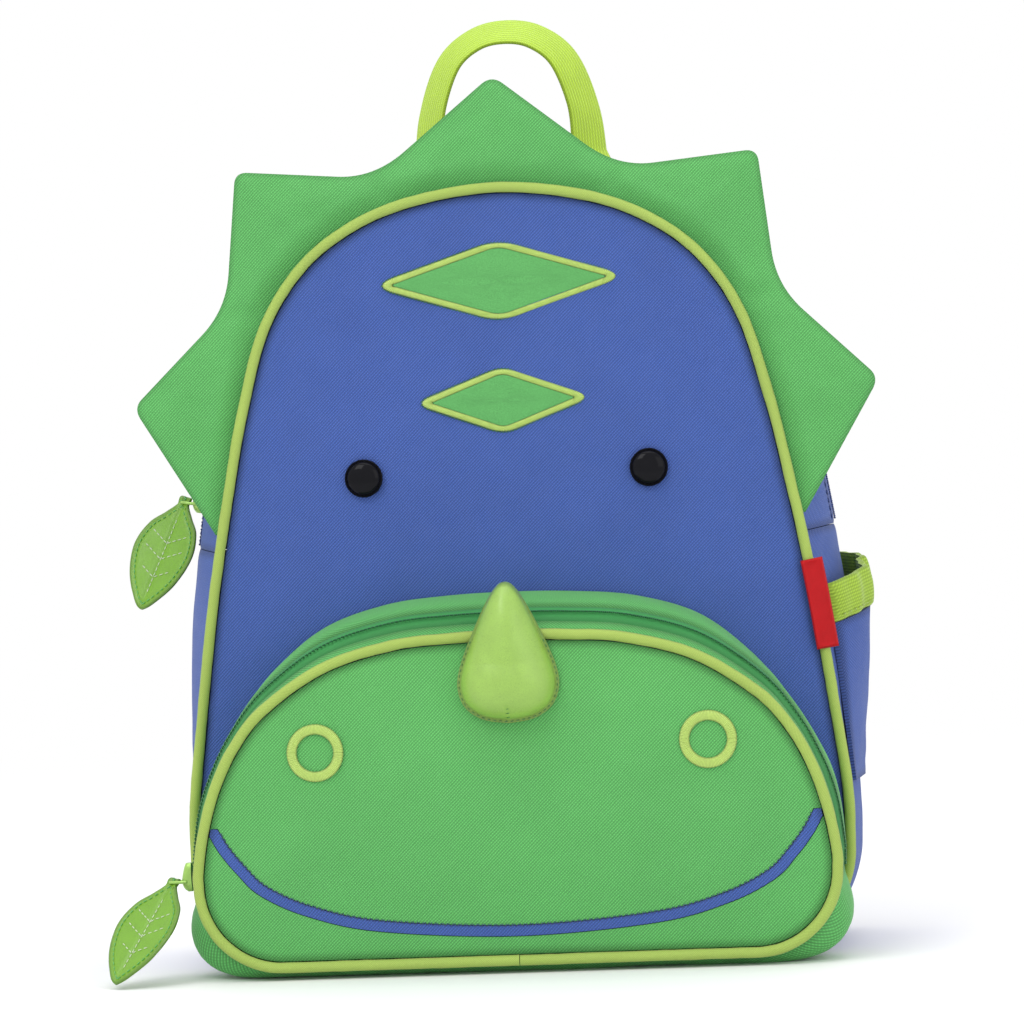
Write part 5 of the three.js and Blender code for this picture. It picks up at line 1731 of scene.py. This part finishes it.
    def leaf_stitches(self, loop: Line, lay: Callable[[Array, Array | float], Array], lift: float) -> None:
        """Edge stitches and the veins.

        Args:
            loop: Edge of the leaf.
            lay: Function that lays places of the leaf's plane at a lift.
            lift: Half the leaf's thickness.
        """
        shares = loop.spaced(2.5)
        along = loop.along(shares)
        edge = loop.at(shares) - np.stack([along[:, 1], -along[:, 0]], axis=-1) * -2.3
        upright = lay(np.zeros((1, 2)), 1.0) - lay(np.zeros((1, 2)), 0.0)
        for name, finish, lines in (
            ("edge", LEAF_THREAD, [(edge, along)]), ("vein", WHITE_THREAD, self.veins())
        ):
            middles = np.concatenate([places for places, _ in lines])
            ways = np.concatenate([ways for _, ways in lines])
            place = lay(middles, lift + 0.1)
            way = lay(middles + ways * 0.5, lift + 0.1) - lay(middles - ways * 0.5, lift + 0.1)
            upward = np.broadcast_to(upright, place.shape)
            row = stitches(f"{self.name}_leaf_{name}_stitches", place, way, upward, (1.7, 0.45, 0.45))
            self.keep(row, finish, "leaf_leather")

    def veins(self) -> list[tuple[Array, Array]]:
        """Middles and directions of the stitches of the midrib and its branches."""
        length = self.leaf_length
        midrib = Line(np.array([(0, -length * 0.2), (0, -length * 0.86)]))
        lines = [midrib]
        for spot, reach in ((0.42, 0.3), (0.56, 0.33), (0.72, 0.24)):
            for sign in (-1, 1):
                start = np.array([0.0, -length * spot])
                end = start + np.array([sign * reach * self.leaf_width, reach * length * 0.3])
                lines.append(Line(np.array([start, end])))
        return [(line.at(line.spaced(2.4)), line.along(line.spaced(2.4))) for line in lines]


@dataclass
class Carrying(SubAssembly):
    """Top handle, shoulder straps, locks, webbing and anchors."""

    handle_top: float = 378.5
    handle_span: float = 67.0
    handle_width: float = 25.0
    handle_thickness: float = 2.0
    handle_tilt: float = 28.0
    handle_sewn: float = 10.0
    strap_top: float = 279.0
    strap_bottom: float = 100.0
    strap_padding: float = 8.0
    strap_width: float = 50.0
    stand_off: float = 26.0
    top_spacing: float = 84.0
    bottom_spacing: float = 160.0
    webbing_width: float = 20.0
    webbing_thickness: float = 1.6
    webbing_lean: float = 3.0
    anchor_spacing: float = 196.0
    anchor_height: float = 33.2
    anchor_size: float = 40.0
    lock_height: float = 20.0
    lock_thickness: float = 4.0
    handle_rows: tuple = (
        (1, 0, 1), (1, 0.17, 1), (1, 0.42, 0.06), (0.94, 0.64, 0),
        (0.72, 0.86, 0), (0.38, 0.97, 0), (0, 1, 0),
    )
    strap_rows: tuple = (
        (0, 0, 0, 1), (0.13, 0.06, 0.5, 1), (0.38, 0.34, 1, 0.98), (0.65, 0.7, 0.95, 0.9),
        (0.87, 0.93, 0.62, 0.72), (1, 1, 0.4, 0.52),
    )

    def ribbon(
        self, name: str, centre: Array, across: Array, facing: Array, width: Array | float, thickness: float,
        fill: float,
    ) -> bpy.types.Object:
        """Strap through a row of places.

        Args:
            name: Name of the piece.
            centre: Middles along the strap.
            across: Direction of its width at each place.
            facing: Direction of its thickness.
            width: Width, one number or one for each place.
            thickness: Thickness in the middle.
            fill: 0 for flat webbing, up to 1 for a full pad.

        Returns:
            The new object.
        """
        run = np.append(0, np.cumsum(np.linalg.norm(np.diff(centre, axis=0), axis=1)))[:, None]
        angle = (np.arange(44) / 44 * 2 * math.pi)[None]
        wide = np.sign(np.cos(angle)) * np.abs(np.cos(angle)) ** 0.7
        edge = 1 - np.abs(wide)
        body = (1 - fill) + fill * (0.36 + 0.64 * smoothstep(edge, 0.05, 0.42))
        body = body - fill * 0.16 * np.exp(-(((edge - 0.13) / 0.04) ** 2))
        tall = np.sign(np.sin(angle)) * np.abs(np.sin(angle)) ** 0.35 * body
        half = np.broadcast_to(np.asarray(width, float).reshape(-1, 1) / 2, (len(centre), 1))
        ripple = crinkle(
            np.stack([run + 0 * angle, 0 * run + wide * 12, 0 * run + tall * 3], axis=-1), 14, 2.0
        )
        up = tall * thickness / 2 * (1 + 0.1 * fill * ripple)
        rings = centre[:, None] + across[:, None] * (wide * half)[..., None] + facing[:, None] * up[..., None]
        cloth = np.stack([run + 0 * angle, wide * half, edge * half], axis=-1)
        return tube(name, rings, cloth)

    def handle(self) -> None:
        """Loop of webbing at the top of the back."""
        outline = SHAPE.face
        low = float(outline.at(0.5 - self.handle_span / 2 / outline.length)[1]) - self.handle_sewn
        height = self.handle_top - low
        depth = SHAPE.back + SHAPE.piping + SEAM + self.handle_thickness / 2
        aside = self.handle_span / 2
        right = np.array([(reach * aside, depth, low + rise * height) for reach, rise, _ in self.handle_rows])
        path = Line(catmull(np.vstack([right, right[-2::-1] * (-1, 1, 1)])))
        t = np.linspace(0, 1, 160)
        centre, tangent = path.at(t), path.along(t)
        rows = np.array(self.handle_rows)
        turn = np.interp((centre[:, 2] - low) / height, rows[:, 1], rows[:, 2])
        tilt = np.radians(self.handle_tilt + (90 - self.handle_tilt) * turn)[:, None]
        outward = np.stack([tangent[:, 2], 0 * t, -tangent[:, 0]], axis=-1)
        across = outward * np.sin(tilt) + np.array([0.0, 1.0, 0.0]) * np.cos(tilt)
        facing = np.cross(tangent, across)
        facing /= np.linalg.norm(facing, axis=-1, keepdims=True)
        centre[:, 1] += self.handle_width / 2 * np.cos(tilt[:, 0]) * (1 - turn)
        handle = self.ribbon(
            "webbing_handle", centre, across, facing, self.handle_width, self.handle_thickness, 0.0
        )
        self.keep(handle, LIME_WEBBING, "lime_webbing", "top_handle")

    def framed(self, path: Line, t: Array) -> tuple[Array, Array, Array]:
        """Middles, width directions and facings along a path."""
        tangent = path.along(t)
        across = np.array([1.0, 0.0, 0.0]) - tangent * tangent[:, :1]
        across /= np.linalg.norm(across, axis=-1, keepdims=True)
        return path.at(t), across, np.cross(tangent, across)

    def shoulder(self, side: str, sign: int) -> None:
        """Padded strap with its lock, webbing and anchor.

        Args:
            side: left or right.
            sign: -1 on the left, 1 on the right.
        """
        top = np.array(self.top_spacing / 2), np.array(self.strap_top)
        against = float(SHAPE.back_surface(*top)) + SEAM + self.strap_padding / 2
        rows = np.array(self.strap_rows)
        spacing = self.top_spacing + (self.bottom_spacing - self.top_spacing) * rows[:, 1]
        drop = self.strap_top + (self.strap_bottom - self.strap_top) * rows[:, 0]
        points = np.column_stack([sign * spacing / 2, against + rows[:, 2] * self.stand_off, drop])
        path = Line(catmull(points))
        centre, across, facing = self.framed(path, np.linspace(0, 1, 150))
        fallen = (self.strap_top - centre[:, 2]) / (self.strap_top - self.strap_bottom)
        width = self.strap_width * np.interp(fallen, rows[:, 0], rows[:, 3])
        strap = self.ribbon(f"padded_strap_{side}", centre, across, facing, width, self.strap_padding, 1.0)
        self.keep(strap, BLUE_CLOTH, "blue_fabric", f"shoulder_strap_{side}")
        for edge in (-1, 1):
            spots = np.linspace(2, len(centre) - 3, 64).astype(int)
            at_edge = centre[spots] + across[spots] * (edge * (width[spots] / 2 - 3.4))[:, None]
            place = at_edge + facing[spots] * (self.strap_padding * 0.25)
            row = stitches(f"strap_stitches_{side}_{'outer' if edge > 0 else 'inner'}", place,
                           np.gradient(centre, axis=0)[spots], facing[spots], (1.9, 0.5, 0.6))
            self.keep(row, BLUE_THREAD, "blue_fabric")

        end, tangent = centre[-1], path.along(np.array([1.0]))[0]
        lock_centre = end + tangent * (self.lock_height / 2 + SEAM)
        under = self.lock_thickness / 2 + SEAM + self.webbing_thickness / 2
        start = lock_centre - tangent * self.lock_height / 2 + facing[-1] * under
        below = lock_centre + tangent * self.lock_height + facing[-1] * under
        anchor_depth = SHAPE.back + SHAPE.piping + SEAM
        web_depth = anchor_depth + SHAPE.cloth + SEAM + self.webbing_thickness / 2
        foot_x = sign * (self.anchor_spacing - self.anchor_size / 2) / 2
        foot = np.array([foot_x, web_depth, self.anchor_height - self.webbing_lean])
        flat = foot + (-sign * self.webbing_lean, 0, self.anchor_size / 3)
        web = Line(catmull(np.array([start, below, flat, foot])))
        web_centre, web_across, web_facing = self.framed(web, np.linspace(0, 1, 60))
        webbing = self.ribbon(f"webbing_tail_{side}", web_centre, web_across, web_facing, self.webbing_width,
                              self.webbing_thickness, 0.0)
        self.keep(webbing, LIME_WEBBING, "lime_webbing", f"strap_webbing_{side}")
        self.anchor(side, sign, anchor_depth)
        self.lock(side)

    def anchor(self, side: str, sign: int, depth: float) -> None:
        """Sewn tab that holds the end of the webbing.

        Args:
            side: left or right.
            sign: -1 on the left, 1 on the right.
            depth: Depth of its inner face.
        """
        tab = np.array(
            [(0.5, -0.5), (0.5, -0.2), (-0.15, 0.5), (-0.5, 0.25), (-0.5, -0.5)]
        ) * self.anchor_size
        centre = np.array([self.anchor_spacing / 2, self.anchor_height])
        loop = Line((np.vstack([tab, tab[:1]]) + centre) * (sign, 1), closed=True)
        edge = loop.at(np.arange(160) / 160)
        middle = edge.mean(axis=0)
        ring = np.linspace(0, 1, 16)[:, None]
        flat = middle + (edge - middle) * ring[..., None]
        seam = (1 - ring) * np.linalg.norm(edge - middle, axis=-1)
        lift = SHAPE.cloth * (0.55 + 0.45 * smoothstep(seam, 0, 2.5))
        front = at_depth(flat, depth + lift)
        piece = shell(f"sewn_anchor_{side}", front, at_depth(flat, depth), planar(flat, seam), True, True)
        self.keep(piece, BLUE_CLOTH, "blue_fabric", f"strap_anchor_{side}")
        shares = loop.spaced(3.0)
        inner = middle + (loop.at(shares) - middle) * 0.84
        along = loop.along(shares)
        place = at_depth(inner, depth + SHAPE.cloth)
        way = at_depth(along, 0.0)
        row = stitches(f"anchor_stitches_{side}", place, way, -facing_viewer(place), (2.0, 0.5, 0.5))
        self.keep(row, BLUE_THREAD, "blue_fabric")

    def lock(self, side: str) -> None:
        """Ladder lock with rounded bars, from the model's own mesh.

        Args:
            side: left or right.
        """
        node = f"ladder_lock_{side}"
        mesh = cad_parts[node].data.copy()
        piece = bpy.data.objects.new(f"moulded_lock_{side}", mesh)
        bpy.context.collection.objects.link(piece)
        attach(piece, "root")
        bevel = piece.modifiers.new("rounded", "BEVEL")
        bevel.width = 0.9 * MM
        bevel.segments = 3
        bevel.limit_method = "ANGLE"
        mesh.shade_smooth()
        self.keep(piece, LOCK_PLASTIC, "black_lock", node)

    def build(self) -> None:
        """Make and dress the handle and both straps."""
        self.handle()
        for side, sign in (("left", -1), ("right", 1)):
            self.shoulder(side, sign)


@dataclass
class Studio:
    """Pale floor, soft lights and the camera."""

    yaw: float = 3.54
    elevation: float = 0.0
    roll: float = 2.28
    distance: float = 1600.0
    target: tuple[float, float, float] = (-1.35, 0.0, 177.05)
    focal_pixels: float = 3952.0
    frame_pixels: float = 1024.0
    floor_radius: float = 2.2

    def build(self) -> None:
        """Make the floor, the lights, the world and the camera."""
        self.floor()
        self.world()
        self.light("key_light", (-0.8, -1.2, 1.7), 1.0, 13.0)
        self.light("fill_light", (1.4, -1.1, 0.8), 1.2, 4.5)
        self.light("top_light", (0.1, 0.1, 1.9), 1.4, 10.0)
        self.camera()
        bpy.context.scene.view_settings.view_transform = "Standard"

    def floor(self) -> None:
        """Round pale floor that fades into the white around it."""
        mesh = bpy.data.meshes.new("floor")
        work = bmesh.new()
        bmesh.ops.create_circle(work, cap_ends=True, segments=96, radius=self.floor_radius)
        work.to_mesh(mesh)
        work.free()
        floor = bpy.data.objects.new("floor", mesh)
        bpy.context.collection.objects.link(floor)
        graph = Graph("pale_floor", {"Base Color": (0.86, 0.86, 0.87, 1.0), "Roughness": 0.7})
        place = graph.add("TexCoord", {}).outputs["Object"]
        length = graph.add("VectorMath", {0: place}, operation="LENGTH").outputs["Value"]
        fade = graph.add(
            "MapRange", {"Value": length, "From Min": 0.35, "From Max": 1.5}, interpolation_type="SMOOTHSTEP"
        )
        white = graph.add("Emission", {"Color": (1.0, 1.0, 1.0, 1.0), "Strength": 1.0})
        mixed = graph.add("MixShader", {0: fade.outputs[0], 1: graph.shader.outputs[0], 2: white.outputs[0]})
        graph.tree.links.new(mixed.outputs[0], graph.tree.nodes["Material Output"].inputs["Surface"])
        mesh.materials.append(graph.material)

    def world(self) -> None:
        """Even white light from all round."""
        world = bpy.data.worlds.new("white_room")
        world.use_nodes = True
        ground = world.node_tree.nodes["Background"]
        ground.inputs["Color"].default_value = (1.0, 1.0, 1.0, 1.0)
        ground.inputs["Strength"].default_value = 1.0
        bpy.context.scene.world = world

    def light(self, name: str, place: tuple[float, float, float], size: float, power: float) -> None:
        """Square soft light that faces the bag.

        Args:
            name: Name of the light.
            place: Its place in metres.
            size: Its side in metres.
            power: Its power in watts.
        """
        data = bpy.data.lights.new(name, "AREA")
        data.size = size
        data.energy = power
        light = bpy.data.objects.new(name, data)
        light.location = place
        light.rotation_euler = (Vector((0, 0, 0.15)) - Vector(place)).to_track_quat("-Z", "Y").to_euler()
        bpy.context.collection.objects.link(light)

    def camera(self) -> None:
        """Camera at the photograph's viewing angle."""
        data = bpy.data.cameras.new("camera")
        data.lens = self.focal_pixels / self.frame_pixels * data.sensor_width
        yaw, up = math.radians(self.yaw), math.radians(self.elevation)
        back = Vector((math.sin(yaw) * math.cos(up), -math.cos(yaw) * math.cos(up), math.sin(up)))
        camera = bpy.data.objects.new("camera", data)
        camera.location = (Vector(self.target) + back * self.distance) * MM
        facing = (-back).to_track_quat("-Z", "Y").to_matrix()
        camera.rotation_euler = (facing @ Matrix.Rotation(math.radians(-self.roll), 3, "Z")).to_euler()
        bpy.context.collection.objects.link(camera)
        bpy.context.scene.camera = camera


def main() -> None:
    """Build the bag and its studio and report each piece."""
    logging.basicConfig(level=logging.INFO, format="%(message)s")
    main_share = 1 - float(SHAPE.face.share_at(BagBody.slider_height))
    muzzle_slider = MuzzlePocket.zip_seam_height + ZipPull.slider_length / 2
    muzzle_share = 1 - float(SHAPE.muzzle.share_at(muzzle_slider))
    parts = [
        BagBody(),
        AnimalFace(),
        Frill(),
        MuzzlePocket(),
        Horn(),
        SidePocket(),
        ZipPull("main", SHAPE.gusset_skin, main_share, 0.5, (-0.42, -0.3, -1), (-0.42, -0.9, 0)),
        ZipPull(
            "muzzle", SHAPE.muzzle_skin, muzzle_share, SHAPE.muzzle_zip_place,
            (-0.42, -0.52, -0.74), (-0.5, -0.8, 0.3),
        ),
        Carrying(),
    ]
    for part in parts:
        part.build()
        part.report()
    Studio().build()


if __name__ == "__main__":
    main()
